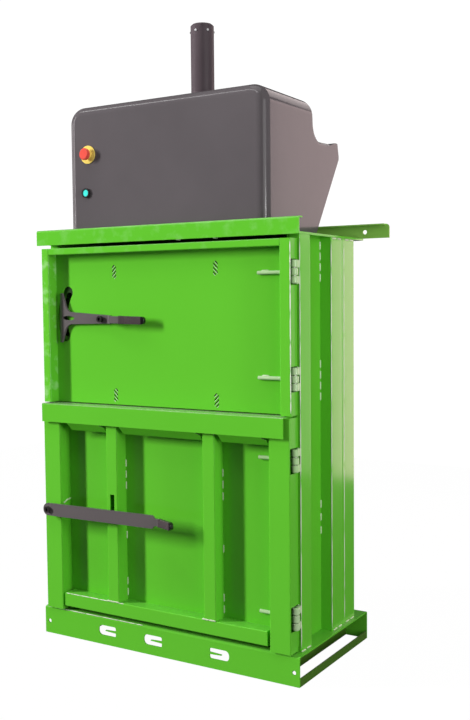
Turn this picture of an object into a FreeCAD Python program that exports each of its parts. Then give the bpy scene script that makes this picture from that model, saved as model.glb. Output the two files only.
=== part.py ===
import FreeCAD, Part
import math
import os
from FreeCAD import Vector as V

os.makedirs("parts", exist_ok=True)

# Upright recycling baler, in millimetres.  X runs across the machine, Y to the back, Z up.
# Every piece is drawn from the machine's front plane, y = 0, which is the face of the header and
# of the base plate.  When it is saved, it moves back so that the origin lies on the floor at the
# centre of the machine's whole footprint.

# ---- frame -------------------------------------------------------------------------------------
HEADER_OVERHANG = 19.5
HEADER_TOP = 1320.0
HEADER_HEIGHT = 46.0
HEADER_FLANGE = 22.0
HEADER_SHEET = 4.0
HEADER_SKIRT = 2.5
ROOF_OVERHANG = 3.0
ROOF_SHEET = 6.0
BASE_OVERHANG = 15.0
BASE_HEIGHT = 88.0
BASE_FLANGE = 40.0
BASE_SHEET = 4.0
BASE_RAIL_LEG = 24.0
BODY_SETBACK = 42.0
BODY_DEPTH = 425.0
CHAMBER_WIDTH = 836.0
WALL_SHEET = 3.0
POST_WIDTH = 37.0
POST_DEPTH = 66.0
POST_SHEET = 3.0
BEND = 3.0
FRAME_OVERHANG = 3.0

SIDE_RIB_OFFSET = 201.0
SIDE_RIB_WIDTHS = (75.0, 87.0)
REAR_RIB_WIDTH = 80.0
REAR_RIB_DEPTH = 30.0
REAR_RIB_CENTRE = 190.0

REAR_BAR_OVERHANG = 92.0
REAR_BAR_RISE = 3.5
REAR_BAR_FLANGE = 20.0
REAR_BAR_CORNER = 12.0
REAR_BAR_HOLE_RADIUS = 7.0
REAR_BAR_HOLE_INSET = 82.0

# ---- base and floor ----------------------------------------------------------------------------
BASE_HOLE_RADIUS = 6.5
BASE_HOLE_INSET = 18.0
BASE_HOLE_Z = 40.0
STRAP_SLOT_LENGTH = 68.0
STRAP_SLOT_HEIGHT = 32.0
STRAP_SLOT_Z = 46.0
STRAP_TONGUE_LENGTH = 42.0
STRAP_TONGUE_ROOT = 7.0
STRAP_TONGUE_TIP = 3.0
STRAP_SLOTS = ((-214.0, 1), (-36.0, 1), (206.0, -1))
FLOOR_SHEET = 5.0
FLOOR_GROOVE_WIDTH = 46.0
FLOOR_GROOVE_DEPTH = 12.0
BEARER_WIDTH = 50.0
BEARER_SHEET = 4.0
BEARER_INSET = 98.0

# ---- doors -------------------------------------------------------------------------------------
DOOR_OVERHANG_LEFT = 1.0
BALE_INSET_LEFT = 3.0
DOOR_INSET_RIGHT = 8.0
DOOR_GAP = 2.0
DOOR_SHEET = 3.0
LOADING_BOTTOM = 766.5
LOADING_TOP = 1261.0
LOADING_STILE_LEFT = 29.0
LOADING_STILE_RIGHT = 34.0
LOADING_RAIL = 21.0
BALE_PROUD = 9.0
BALE_STILE = 67.5
BALE_STILE_BOTTOM = 91.0
STIFFENER_WIDTH = 42.0
STIFFENER_XS = (-178.5, 180.5)
STIFFENER_SLOT_WIDTH = 17.0
STIFFENER_SLOT_BOTTOM = 425.0
STIFFENER_SLOT_TOP = 488.0
TOP_RAIL_INSETS = (8.0, 22.0)
TOP_RAIL_TOP = 764.0
TOP_RAIL_HEIGHT = 59.0
TOP_RAIL_PROUD = 13.0
TOP_RAIL_LIP = 25.0
TOP_RAIL_LIP_GAPS = (41.0, 19.0, 19.0)
TOP_RAIL_LIP_END = 6.0
TOP_RAIL_RELIEF = (14.0, 8.0)
BOTTOM_RAIL_Z = 104.0
BOTTOM_RAIL_HEIGHT = 43.5
BOTTOM_RAIL_GAP = 9.0
HATCH_COUNT = 4
HATCH_PITCH = 12.8
HATCH_WIDTH = 16.0
HATCH_HEIGHT = 40.0
HATCH_STROKE = 3.6
HATCHES = ((-192.0, 1184.0, 1), (183.0, 1186.0, -1), (-192.0, 797.0, -1), (183.0, 797.0, 1))

# ---- hinges ------------------------------------------------------------------------------------
HINGE_INSET = 5.0
HINGE_Y = 18.0
HINGE_RADIUS = 11.0
KNUCKLE = 21.0
KNUCKLE_EDGE = 2.5
HINGE_GAP = 1.5
PIN_RADIUS = 5.0
PIN_FIT = 0.06
HINGE_LEAF = 8.0
HINGE_STRAP_LENGTH = 124.0
HINGE_STRAP_RADIUS = 5.5
HINGE_NOTCH_CLEARANCE = 3.0
LOADING_HINGE_ZS = (869.0, 1168.0)
BALE_HINGE_ZS = (190.0, 640.0)

# ---- loading door lever ------------------------------------------------------------------------
LOADING_PIVOT_INSET = 218.0
LOADING_PIVOT_Z = 1035.0
LOADING_TILT = 1.3
POINTING_LEFT = 180.0
LEVER_SHEET = 8.0
LEVER_GAP = 3.0
LEVER_JOGGLE = 20.0
HEAD_REACH = 173.0
HEAD_HEIGHT = 160.0
HEAD_TIP = 13.0
HEAD_ROOT = 34.0
HEAD_CORNER = 7.0
HEAD_HOLLOW = 30.0
ARM_HEIGHT = 40.0
ARM_END = 22.0
JOGGLE_START = 28.0
JOGGLE_LENGTH = 22.0
ARM_REACH = 86.0
GRIP_LENGTH = 98.0
GRIP_THICKNESS = 13.0
GRIP_EXTRA = 2.0
GRIP_EDGE = 2.5
OVAL_LENGTH = 50.0
OVAL_HEIGHT = 14.0
OVAL_REACH = 133.0
CATCH_RADIUS = 165.0
CATCH_SWING_UP = 26.0
CATCH_SWING_DOWN = 18.0
CATCH_PIN_RADIUS = 7.0
CATCH_HEAD_RADIUS = 12.0
CATCH_HEAD_THICKNESS = 6.0
KIDNEY_WIDTH = 39.0
KIDNEY_UP = 31.0
KIDNEY_DOWN = 19.0
KEEPER_SHEET = 6.0
KEEPER_STANDOFF = 10.0
KEEPER_EDGE = 22.0
KEEPER_CLEARANCE = 3.0
BOLT_RADIUS = 6.0
BOLT_HEAD_RADIUS = 10.0
BOLT_HEAD_HEIGHT = 10.0
SOCKET_RADIUS = 5.0
SOCKET_DEPTH = 7.0
RUNNING_FIT = 0.08

# ---- bale door lever ---------------------------------------------------------------------------
BALE_PIVOT_INSET = 33.5
BALE_PIVOT_Z = 421.0
BALE_TILT = 0.5
BALE_LEVER_GAP = 14.5
BALE_BAR_LENGTH = 423.0
BALE_NECK = 12.0
BALE_NECK_HEIGHT = 22.0
BALE_GRIP_ANGLE = 22.0
BALE_GRIP_LENGTH = 70.0
BALE_GRIP_HEIGHT = 25.0
BALE_GRIP_START = 6.0
CAM_RADIUS = 24.0
CAM_WAIST = 15.0
CAM_THICKNESS = 8.0
CAM_Y = 18.0
CAM_LEAD = 7.0
STUD_REACH = 30.0
STUD_OFFSET = 5.0
STUD_RADIUS = 5.5
STUD_HEAD_RADIUS = 12.0
STUD_HEAD_THICKNESS = 6.0
STUD_HEAD_GAP = 4.0

# ---- hood --------------------------------------------------------------------------------------
HOOD_WIDTH = 720.0
HOOD_FRONT = 25.0
HOOD_TOP = 1702.0
HOOD_BACK_TOP = 326.0
HOOD_BACK_WAIST = 335.0
HOOD_SHELF_Z = 1578.0
HOOD_SHELF_RISE = 10.0
HOOD_BACK = 507.0
HOOD_BACK_SLOPE = 11.0
HOOD_LIP = 47.0
HOOD_FOOT_BACK = 334.0
HOOD_WALL = 4.0
HOOD_SIDE_EDGE = 53.0
HOOD_EDGE = 30.0
HOOD_REAR_EDGE = 14.0
HOOD_LIP_RIDGE = 5.0
HOOD_LIP_WIDTH = 16.0
HOOD_WAIST_RADIUS = 50.0
HOOD_LIP_RADIUS = 18.0

# ---- press -------------------------------------------------------------------------------------
CYLINDER_Y = 262.0
BORE_RADIUS = 20.0
BARREL_RADIUS = 26.0
BARREL_BELOW_ROOF = 19.0
BARREL_CAP = 15.0
GLAND_HEIGHT = 35.0
ROD_RADIUS = 12.5
PISTON_HEIGHT = 40.0
STROKE = 550.0
PORT_RADIUS = 9.0
PORT_REACH = 16.0
FLANGE_SIZE = 124.0
FLANGE_HEIGHT = 18.0
FLANGE_BOLT_X = 46.0
FLANGE_BOLT_RADIUS = 5.0
FLANGE_BOLT_HEAD = 9.0
PLATEN_BOTTOM = 1130.0
PLATEN_SHEET = 12.0
PLATEN_RIB_HEIGHT = 55.0
PLATEN_RIB_SHEET = 8.0
PLATEN_RIB_INSET = 20.0
PLATEN_BEAM_WIDTH = 50.0
PLATEN_BEAM_SPACING = 64.0
PLATEN_CLEARANCE = 10.0
ROD_FOOT_RADIUS = 40.0
ROD_FOOT_HEIGHT = 24.0
COVER_RADIUS = 37.0
COVER_WALL = 3.0
COVER_TOP = 1953.0
COVER_CAP = 12.0
COVER_CAP_RIM = 4.0
COVER_FIT = 1.0
COVER_HEADROOM = 23.0
COVER_SCREWS = 6
COVER_SCREW_RADIUS = 3.5
COVER_SCREW_DROP = 14.0
PIPE_RADIUS = 3.0
PIPE_FOOT = 1610.0
HOSE_RADIUS = 6.0
HOSE_BEND = 11.0

# ---- power unit --------------------------------------------------------------------------------
TANK_LEFT = -330.0
TANK_WIDTH = 235.0
TANK_FRONT = 105.0
TANK_DEPTH = 205.0
TANK_HEIGHT = 170.0
TANK_CORNER = 14.0
TANK_LID = 6.0
MOTOR_RADIUS = 62.0
MOTOR_HEIGHT = 170.0
MOTOR_EDGE = 8.0
VALVE_WIDTH = 46.0
VALVE_DEPTH = 80.0
VALVE_HEIGHT = 84.0
CONTROL_BOX = (150.0, 60.0, 190.0)
CONTROL_SHIFT = 45.0

# ---- buttons -----------------------------------------------------------------------------------
STOP_X = -278.0
STOP_Z = 1550.0
STOP_PLATE_RADIUS = 28.0
STOP_PLATE_SHEET = 2.5
STOP_COLLAR_RADIUS = 14.0
STOP_COLLAR_LENGTH = 6.0
STOP_HEAD_RADIUS = 18.5
STOP_HEAD_LENGTH = 10.0
STOP_HEAD_EDGE = 3.5
STOP_STEM_RADIUS = 9.0
STOP_TRAVEL = 4.0
START_X = -287.0
START_Z = 1431.0
START_BEZEL_RADIUS = 15.0
START_BEZEL_LENGTH = 6.0
START_LENS_RADIUS = 10.5
START_LENS_INSET = 1.5
START_TRAVEL = 2.5
BUTTON_FIT = 0.3

# ---- places that follow from the sizes ----------------------------------------------------------
body_half = CHAMBER_WIDTH / 2 + WALL_SHEET + POST_WIDTH
base_half = body_half + BASE_OVERHANG
header_half = body_half + HEADER_OVERHANG
rear_bar_half = body_half + REAR_BAR_OVERHANG
door_left = -body_half - DOOR_OVERHANG_LEFT
door_right = body_half - DOOR_INSET_RIGHT
bale_left = -body_half + BALE_INSET_LEFT
bale_inner_left = bale_left + BALE_STILE
bale_inner_right = door_right - BALE_STILE
hinge_x = body_half - HINGE_INSET
hinge_half = 1.5 * KNUCKLE + HINGE_GAP
loading_pivot_x = LOADING_PIVOT_INSET - body_half
bale_pivot_x = BALE_PIVOT_INSET - body_half
stud_x = bale_pivot_x - STUD_OFFSET
stud_z = BALE_PIVOT_Z + STUD_REACH
wall_inner = CHAMBER_WIDTH / 2
wall_outer = wall_inner + WALL_SHEET
body_back = BODY_SETBACK + BODY_DEPTH
frame_back = body_back + FRAME_OVERHANG
roof_bottom = HEADER_TOP - HEADER_HEIGHT
roof_top = roof_bottom + ROOF_SHEET
door_back = BODY_SETBACK - DOOR_GAP
panel_front = door_back - DOOR_SHEET
bale_front = -BALE_PROUD
bale_lever_back = bale_front - BALE_LEVER_GAP
bale_lever_front = bale_lever_back - LEVER_SHEET
lever_back = panel_front - LEVER_GAP
lever_front = lever_back - LEVER_SHEET
keeper_front = door_back + KEEPER_STANDOFF
catch_head_front = keeper_front + KEEPER_SHEET + KEEPER_CLEARANCE
grip_height = ARM_END + 2 * GRIP_EXTRA
grip_angle = math.radians(BALE_GRIP_ANGLE)
grip_end = BALE_GRIP_START + BALE_GRIP_LENGTH
grip_reach = grip_end * math.sin(grip_angle) + GRIP_THICKNESS / 2 * math.cos(grip_angle)
front_reach = grip_reach - (bale_lever_front + bale_lever_back) / 2
port_z = roof_top + FLANGE_HEIGHT + PORT_RADIUS + 2
barrel_top = COVER_TOP - COVER_HEADROOM
barrel_bottom = roof_bottom - BARREL_BELOW_ROOF
catch_rise = CATCH_RADIUS * math.sin(math.radians(CATCH_SWING_UP + LOADING_TILT))
keeper_half = catch_rise + CATCH_PIN_RADIUS + KEEPER_EDGE
keeper_right = loading_pivot_x - CATCH_RADIUS + CATCH_HEAD_RADIUS + KEEPER_CLEARANCE + 1.5 * KEEPER_EDGE
origin_shift = V(0, (front_reach - HOOD_BACK) / 2, 0)

saved = {}


# ---- helpers -----------------------------------------------------------------------------------
def box(x0, x1, y0, y1, z0, z1):
    return Part.makeBox(x1 - x0, y1 - y0, z1 - z0, V(x0, y0, z0))


def rod(radius, start, end):
    """A round bar between two points."""
    along = V(*end) - V(*start)
    return Part.makeCylinder(radius, along.Length, V(*start), along)


PLANES = {
    "xy": (lambda a, b, c: V(a, b, c), V(0, 0, 1)),
    "xz": (lambda a, b, c: V(a, c, b), V(0, 1, 0)),
    "yz": (lambda a, b, c: V(c, a, b), V(1, 0, 0)),
}


def outline(corners, plane, level):
    """Closed wire through the corners (a, b) or (a, b, radius), with tangent arcs at the radii."""
    place = PLANES[plane][0]
    flat = [(V(c[0], c[1], 0), c[2] if len(c) > 2 else 0.0) for c in corners]
    stations = []
    for i, (here, radius) in enumerate(flat):
        if radius <= 0:
            stations.append((here, None, here))
            continue
        back = (flat[i - 1][0] - here).normalize()
        ahead = (flat[(i + 1) % len(flat)][0] - here).normalize()
        half = back.getAngle(ahead) / 2
        run = radius / math.tan(half)
        middle = here + (back + ahead).normalize() * (radius / math.sin(half) - radius)
        stations.append((here + back * run, middle, here + ahead * run))
    edges = []
    for i, (start, middle, end) in enumerate(stations):
        points = [place(p.x, p.y, level) for p in (start, middle or start, end)]
        if middle is not None:
            edges.append(Part.Arc(*points).toShape())
        following = stations[(i + 1) % len(stations)][0]
        if (following - end).Length > 1e-6:
            edges.append(Part.makeLine(points[2], place(following.x, following.y, level)))
    return Part.Wire(edges)


def prism(corners, plane, low, high):
    """Solid of constant section between two levels along the plane's normal."""
    face = Part.Face(outline(corners, plane, low))
    return face.extrude(PLANES[plane][1] * (high - low))


def block(x0, x1, y0, y1, z0, z1, radius):
    """A box with its four upright edges rounded."""
    return prism([(x0, y0, radius), (x1, y0, radius), (x1, y1, radius), (x0, y1, radius)], "xy", z0, z1)


def tray(x0, x1, y0, y1, z0, z1, sheet, upright=True):
    """A folded channel with closed ends, open to the back; its long front edges are bends."""
    if upright:
        outer = prism([(x0, y0, BEND), (x1, y0, BEND), (x1, y1), (x0, y1)], "xy", z0, z1)
    else:
        outer = prism([(y0, z0, BEND), (y1, z0), (y1, z1), (y0, z1, BEND)], "yz", x0, x1)
    return outer.cut(box(x0 + sheet, x1 - sheet, y0 + sheet, y1 + 1, z0 + sheet, z1 - sheet))


def edged(shape, size, chosen):
    """The shape with its chosen edges bevelled."""
    return shape.makeChamfer(size, [edge for edge in shape.Edges if chosen(edge.BoundBox)])


def mirrored(shape):
    return shape.mirror(V(0, 0, 0), V(1, 0, 0))


def turned(shape, x, z, degrees):
    """The shape turned about a line along Y; positive lifts what lies to the right of it."""
    copy = shape.copy()
    copy.rotate(V(x, 0, z), V(0, -1, 0), degrees)
    return copy


def save(name, *pieces):
    shape = pieces[0] if len(pieces) == 1 else Part.makeCompound(list(pieces))
    moved = shape.copy()
    moved.translate(origin_shift)
    saved[name] = moved
    moved.exportStep("parts/" + name + ".step")


# ---- base --------------------------------------------------------------------------------------
def strap_slot(x, side):
    """A slot that hooks a strap: a rounded window with a tapered tongue from its open side."""
    half_length = STRAP_SLOT_LENGTH / 2
    half_height = STRAP_SLOT_HEIGHT / 2
    low, high = STRAP_SLOT_Z - half_height, STRAP_SLOT_Z + half_height
    closed, mouth = x - side * half_length, x + side * half_length
    window = prism([(closed, low, half_height - 2), (mouth, low, 6), (mouth, high, 6),
                    (closed, high, half_height - 2)], "xz", -1, BASE_SHEET + 1)
    tip = mouth - side * STRAP_TONGUE_LENGTH
    tongue = prism([(mouth + side, STRAP_SLOT_Z - STRAP_TONGUE_ROOT / 2),
                    (tip, STRAP_SLOT_Z - STRAP_TONGUE_TIP / 2, 1.5),
                    (tip, STRAP_SLOT_Z + STRAP_TONGUE_TIP / 2, 1.5),
                    (mouth + side, STRAP_SLOT_Z + STRAP_TONGUE_ROOT / 2)], "xz", -1, BASE_SHEET + 1)
    return window.cut(tongue)


def folded_angle(front, back, top, sheet, half_width, bottom):
    """Sheet folded over at its upper edge: an upright face at 'front', a flange to 'back'."""
    way = 1 if back > front else -1
    return prism([(front, bottom), (front, top, sheet + BEND), (back, top), (back, top - sheet),
                  (front + way * sheet, top - sheet, BEND), (front + way * sheet, bottom)],
                 "yz", -half_width, half_width)


def make_base():
    half = base_half
    front = folded_angle(0, BASE_FLANGE, BASE_HEIGHT, BASE_SHEET, half, 0)
    for x in (BASE_HOLE_INSET - half, half - BASE_HOLE_INSET):
        front = front.cut(rod(BASE_HOLE_RADIUS, (x, -1, BASE_HOLE_Z), (x, BASE_SHEET + 1, BASE_HOLE_Z)))
    for x, side in STRAP_SLOTS:
        front = front.cut(strap_slot(x, side))
    rear_flange = frame_back - BASE_FLANGE / 2
    rear = folded_angle(frame_back, rear_flange, BASE_HEIGHT, BASE_SHEET, half, 0)
    save("base_front_plate", front)
    save("base_rear_plate", rear)

    rail = prism([(half, 0), (half, BASE_RAIL_LEG), (half - BASE_SHEET, BASE_RAIL_LEG),
                  (half - BASE_SHEET, BASE_SHEET), (half - BASE_RAIL_LEG, BASE_SHEET),
                  (half - BASE_RAIL_LEG, 0)], "xz", BASE_SHEET, frame_back - BASE_SHEET)
    bearer_top = BASE_HEIGHT - FLOOR_SHEET
    bearers = []
    for x in (BEARER_INSET - half, half - BEARER_INSET):
        shape = box(x - BEARER_WIDTH / 2, x + BEARER_WIDTH / 2, BASE_SHEET, frame_back - BASE_SHEET,
                    0, bearer_top)
        hollow = box(x - BEARER_WIDTH / 2 + BEARER_SHEET, x + BEARER_WIDTH / 2 - BEARER_SHEET,
                     0, frame_back, -1, bearer_top - BEARER_SHEET)
        bearers.append(shape.cut(hollow).cut(front).cut(rear))
    save("base_rails", rail, mirrored(rail), *bearers)

    top, deep = BASE_HEIGHT, BASE_HEIGHT - FLOOR_GROOVE_DEPTH
    upper = [(-half, top)]
    lower = [(-half, top - FLOOR_SHEET)]
    for x, side in STRAP_SLOTS:
        inner, outer = FLOOR_GROOVE_WIDTH / 2, FLOOR_GROOVE_WIDTH / 2 + FLOOR_SHEET
        upper += [(x - inner, top), (x - inner, deep), (x + inner, deep), (x + inner, top)]
        lower += [(x - outer, top - FLOOR_SHEET), (x - outer, deep - FLOOR_SHEET),
                  (x + outer, deep - FLOOR_SHEET), (x + outer, top - FLOOR_SHEET)]
    upper.append((half, top))
    lower.append((half, top - FLOOR_SHEET))
    save("chamber_floor", prism(upper + lower[::-1], "xz", BASE_FLANGE, rear_flange))


# ---- body --------------------------------------------------------------------------------------
def tube_section(x0, x1, y0, y1, z0, z1, sheet):
    outer = block(x0, x1, y0, y1, z0, z1, sheet + 1)
    return outer.cut(block(x0 + sheet, x1 - sheet, y0 + sheet, y1 - sheet, z0 - 1, z1 + 1, 1))


def channel_rib(y0, y1):
    """Upright channel on the right side sheet, its web outwards."""
    outer = prism([(wall_outer, y0), (body_half, y0, BEND), (body_half, y1, BEND), (wall_outer, y1)],
                  "xy", BASE_HEIGHT, roof_bottom)
    return outer.cut(box(wall_outer - 1, body_half - WALL_SHEET, y0 + WALL_SHEET, y1 - WALL_SHEET,
                         BASE_HEIGHT - 1, roof_bottom + 1))


def make_body():
    post = tube_section(wall_outer, body_half, BODY_SETBACK, BODY_SETBACK + POST_DEPTH,
                        BASE_HEIGHT, roof_bottom, POST_SHEET)
    save("post_right", post)
    save("post_left", mirrored(post))
    sheet = box(wall_inner, wall_outer, BODY_SETBACK, body_back - WALL_SHEET, BASE_HEIGHT, roof_bottom)
    save("side_sheet_right", sheet)
    save("side_sheet_left", mirrored(sheet))
    ribs = []
    start = BODY_SETBACK + SIDE_RIB_OFFSET
    for width in SIDE_RIB_WIDTHS:
        ribs.append(channel_rib(start, start + width))
        start += width
    save("side_ribs_right", *ribs)
    save("side_ribs_left", *[mirrored(rib) for rib in ribs])
    save("rear_wall", box(-wall_outer, wall_outer, body_back - WALL_SHEET, body_back,
                          BASE_HEIGHT, roof_bottom))
    x0, x1 = REAR_RIB_CENTRE - REAR_RIB_WIDTH / 2, REAR_RIB_CENTRE + REAR_RIB_WIDTH / 2
    rib_back = body_back + REAR_RIB_DEPTH
    rear_rib = prism([(x0, body_back), (x1, body_back), (x1, rib_back, BEND), (x0, rib_back, BEND)],
                     "xy", BASE_HEIGHT, roof_bottom)
    rear_rib = rear_rib.cut(box(x0 + WALL_SHEET, x1 - WALL_SHEET, body_back - 1, rib_back - WALL_SHEET,
                                BASE_HEIGHT - 1, roof_bottom + 1))
    save("rear_ribs", rear_rib, mirrored(rear_rib))


# ---- roof --------------------------------------------------------------------------------------
def make_roof():
    header = folded_angle(0, HEADER_FLANGE, HEADER_TOP, HEADER_SHEET, header_half, roof_bottom - HEADER_SKIRT)
    save("front_header", header)
    half = body_half + ROOF_OVERHANG
    roof = box(-half, half, HEADER_SHEET, frame_back, roof_bottom, roof_top)
    roof = roof.cut(rod(BARREL_RADIUS + RUNNING_FIT, (0, CYLINDER_Y, roof_bottom - 1),
                        (0, CYLINDER_Y, roof_top + 1)))
    save("roof_plate", roof)
    half_bar = rear_bar_half
    bar_front = frame_back - HEADER_SHEET
    bar_top = HEADER_TOP + REAR_BAR_RISE
    face = prism([(-half_bar, roof_top), (half_bar, roof_top), (half_bar, bar_top, REAR_BAR_CORNER),
                  (-half_bar, bar_top, REAR_BAR_CORNER)], "xz", bar_front, frame_back)
    flange = box(REAR_BAR_CORNER - half_bar, half_bar - REAR_BAR_CORNER, frame_back - REAR_BAR_FLANGE,
                 bar_front, bar_top - HEADER_SHEET, bar_top)
    bar = face.fuse(flange)
    hole_z = (roof_top + HEADER_TOP) / 2
    for x in (REAR_BAR_HOLE_INSET - half_bar, half_bar - REAR_BAR_HOLE_INSET):
        bar = bar.cut(rod(REAR_BAR_HOLE_RADIUS, (x, bar_front - 1, hole_z), (x, frame_back + 1, hole_z)))
    save("rear_header", bar.removeSplitter())


# ---- hinges ------------------------------------------------------------------------------------
def knuckle(middle, place, bore):
    """One of a hinge's three barrels: -1 the lower, 0 the middle and 1 the upper."""
    level = middle + place * (KNUCKLE + HINGE_GAP) - KNUCKLE / 2
    shape = Part.makeCylinder(HINGE_RADIUS, KNUCKLE, V(hinge_x, HINGE_Y, level))
    shape = shape.makeChamfer(KNUCKLE_EDGE, [edge for edge in shape.Edges if edge.isClosed()])
    return shape.cut(Part.makeCylinder(bore, KNUCKLE, V(hinge_x, HINGE_Y, level)))


def body_hinge(middle, place):
    """Outer barrel with the leaf that is welded to the post."""
    level = middle + place * (KNUCKLE + HINGE_GAP)
    leaf = box(hinge_x - HINGE_LEAF / 2, hinge_x + HINGE_LEAF / 2, HINGE_Y, BODY_SETBACK,
               level - KNUCKLE / 2, level + KNUCKLE / 2)
    core = rod(PIN_RADIUS, (hinge_x, HINGE_Y, level - KNUCKLE), (hinge_x, HINGE_Y, level + KNUCKLE))
    return knuckle(middle, place, PIN_RADIUS).fuse(leaf.cut(core)).removeSplitter()


def door_hinge(middle):
    """Middle barrel with the round bar that is welded along the door's panel."""
    near = hinge_x - PIN_RADIUS - 1
    bar_y = panel_front - HINGE_STRAP_RADIUS
    strap = rod(HINGE_STRAP_RADIUS, (hinge_x - HINGE_STRAP_LENGTH, bar_y, middle), (near, bar_y, middle))
    link = box(hinge_x - HINGE_RADIUS, near, HINGE_Y, panel_front,
               middle - HINGE_STRAP_RADIUS, middle + HINGE_STRAP_RADIUS)
    return knuckle(middle, 0, PIN_RADIUS + PIN_FIT).fuse([link, strap]).removeSplitter()


def hinge_pin(middle):
    return rod(PIN_RADIUS, (hinge_x, HINGE_Y, middle - hinge_half), (hinge_x, HINGE_Y, middle + hinge_half))


def hinge_notch(middle, left, right, front):
    """Room in a door's right edge for a hinge."""
    reach = hinge_half + HINGE_NOTCH_CLEARANCE
    return box(left, right, front, BODY_SETBACK, middle - reach, middle + reach)


def strap_passage(middle, left, right):
    """Cut at the back of a stile's inner wall, where a hinge's round bar passes it."""
    reach = HINGE_STRAP_RADIUS + 1
    return box(left, right, panel_front - 2 * reach, BODY_SETBACK, middle - reach, middle + reach)


def make_hinges():
    levels = LOADING_HINGE_ZS + BALE_HINGE_ZS
    save("hinge_body_halves", *[body_hinge(z, place) for z in levels for place in (-1, 1)])
    save("hinge_pins", *[hinge_pin(z) for z in levels])
    save("loading_door_hinge_halves", *[door_hinge(z) for z in LOADING_HINGE_ZS])
    save("bale_door_hinge_halves", *[door_hinge(z) for z in BALE_HINGE_ZS])


# ---- loading door ------------------------------------------------------------------------------
def arc_slot(x, z, radius, width, start, end, y0, y1):
    """A slot along an arc about (x, z), from one angle to the other, with round ends."""
    def at(r, degrees):
        return V(x + r * math.cos(math.radians(degrees)), y0, z + r * math.sin(math.radians(degrees)))
    inner, outer, middle = radius - width / 2, radius + width / 2, (start + end) / 2
    edges = [Part.Arc(at(outer, start), at(outer, middle), at(outer, end)).toShape(),
             Part.makeLine(at(outer, end), at(inner, end)),
             Part.Arc(at(inner, end), at(inner, middle), at(inner, start)).toShape(),
             Part.makeLine(at(inner, start), at(outer, start))]
    band = Part.Face(Part.Wire(edges)).extrude(V(0, y1 - y0, 0))
    for degrees in (start, end):
        tip = at(radius, degrees)
        band = band.fuse(Part.makeCylinder(width / 2, y1 - y0, tip, V(0, 1, 0)))
    return band.removeSplitter()


def hatch(x, z, lean, y0, y1):
    """A vent: strokes at 45 degrees in an upright window, rising to the right with a lean of 1."""
    left, right = x - HATCH_WIDTH / 2, x + HATCH_WIDTH / 2
    window = box(left, right, y0, y1, z - HATCH_HEIGHT / 2, z + HATCH_HEIGHT / 2)
    rise = lean * HATCH_WIDTH
    thick = HATCH_STROKE * math.sqrt(2)
    strokes = []
    for i in range(HATCH_COUNT):
        low = z + (i - HATCH_COUNT / 2 + 0.5) * HATCH_PITCH - (rise + thick) / 2
        strokes.append(prism([(left, low), (right, low + rise), (right, low + rise + thick),
                              (left, low + thick)], "xz", y0, y1).common(window))
    return strokes


def make_loading_door():
    panel = box(door_left, door_right, panel_front, door_back, LOADING_BOTTOM, LOADING_TOP)
    panel = panel.cut(arc_slot(loading_pivot_x, LOADING_PIVOT_Z, CATCH_RADIUS, KIDNEY_WIDTH,
                               POINTING_LEFT - KIDNEY_UP, POINTING_LEFT + KIDNEY_DOWN, panel_front - 1, door_back + 1))
    panel = panel.cut(rod(BOLT_RADIUS, (loading_pivot_x, 0, LOADING_PIVOT_Z),
                          (loading_pivot_x, BODY_SETBACK, LOADING_PIVOT_Z)))
    for x, z, lean in HATCHES:
        panel = panel.cut(hatch(x, z, lean, panel_front - 1, door_back + 1))
    stile_left = tray(door_left, door_left + LOADING_STILE_LEFT, 0, panel_front,
                      LOADING_BOTTOM, LOADING_TOP, DOOR_SHEET)
    stile_right = tray(door_right - LOADING_STILE_RIGHT, door_right, 0, panel_front,
                       LOADING_BOTTOM, LOADING_TOP, DOOR_SHEET)
    room = hinge_x - HINGE_RADIUS - HINGE_NOTCH_CLEARANCE
    for z in LOADING_HINGE_ZS:
        panel = panel.cut(hinge_notch(z, room, door_right + 1, panel_front - 1))
        stile_right = stile_right.cut(hinge_notch(z, room, door_right + 1, DOOR_SHEET))
        stile_right = stile_right.cut(strap_passage(z, door_right - LOADING_STILE_RIGHT - 1, room))
    save("loading_door_panel", panel)
    save("loading_door_stile_left", stile_left)
    save("loading_door_stile_right", stile_right)
    inner_left, inner_right = door_left + LOADING_STILE_LEFT, door_right - LOADING_STILE_RIGHT
    save("loading_door_rails", tray(inner_left, inner_right, 0, panel_front, LOADING_TOP - LOADING_RAIL,
                                    LOADING_TOP, DOOR_SHEET, upright=False))
    head_top = lever_front - BOLT_HEAD_HEIGHT
    x, z = loading_pivot_x, LOADING_PIVOT_Z
    bolt = rod(BOLT_HEAD_RADIUS, (x, head_top, z), (x, lever_front - RUNNING_FIT, z))
    bolt = bolt.cut(rod(SOCKET_RADIUS, (x, head_top - 1, z), (x, head_top + SOCKET_DEPTH, z)))
    bolt = bolt.fuse(rod(BOLT_RADIUS, (x, lever_front - RUNNING_FIT, z), (x, door_back, z)))
    bolt = bolt.fuse(rod(BOLT_HEAD_RADIUS, (x, lever_back + RUNNING_FIT, z), (x, panel_front, z)))
    bolt = bolt.fuse(rod(BOLT_HEAD_RADIUS, (x, door_back, z), (x, door_back + BOLT_HEAD_HEIGHT / 2, z)))
    save("loading_pivot_bolt", bolt.removeSplitter())


def lever_end(x0, x1, y0, y1, z, height, radius):
    """The round-ended tail of a flat lever."""
    return prism([(x0, z - height / 2), (x1, z - height / 2, radius), (x1, z + height / 2, radius),
                  (x0, z + height / 2)], "xz", y0, y1)


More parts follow.
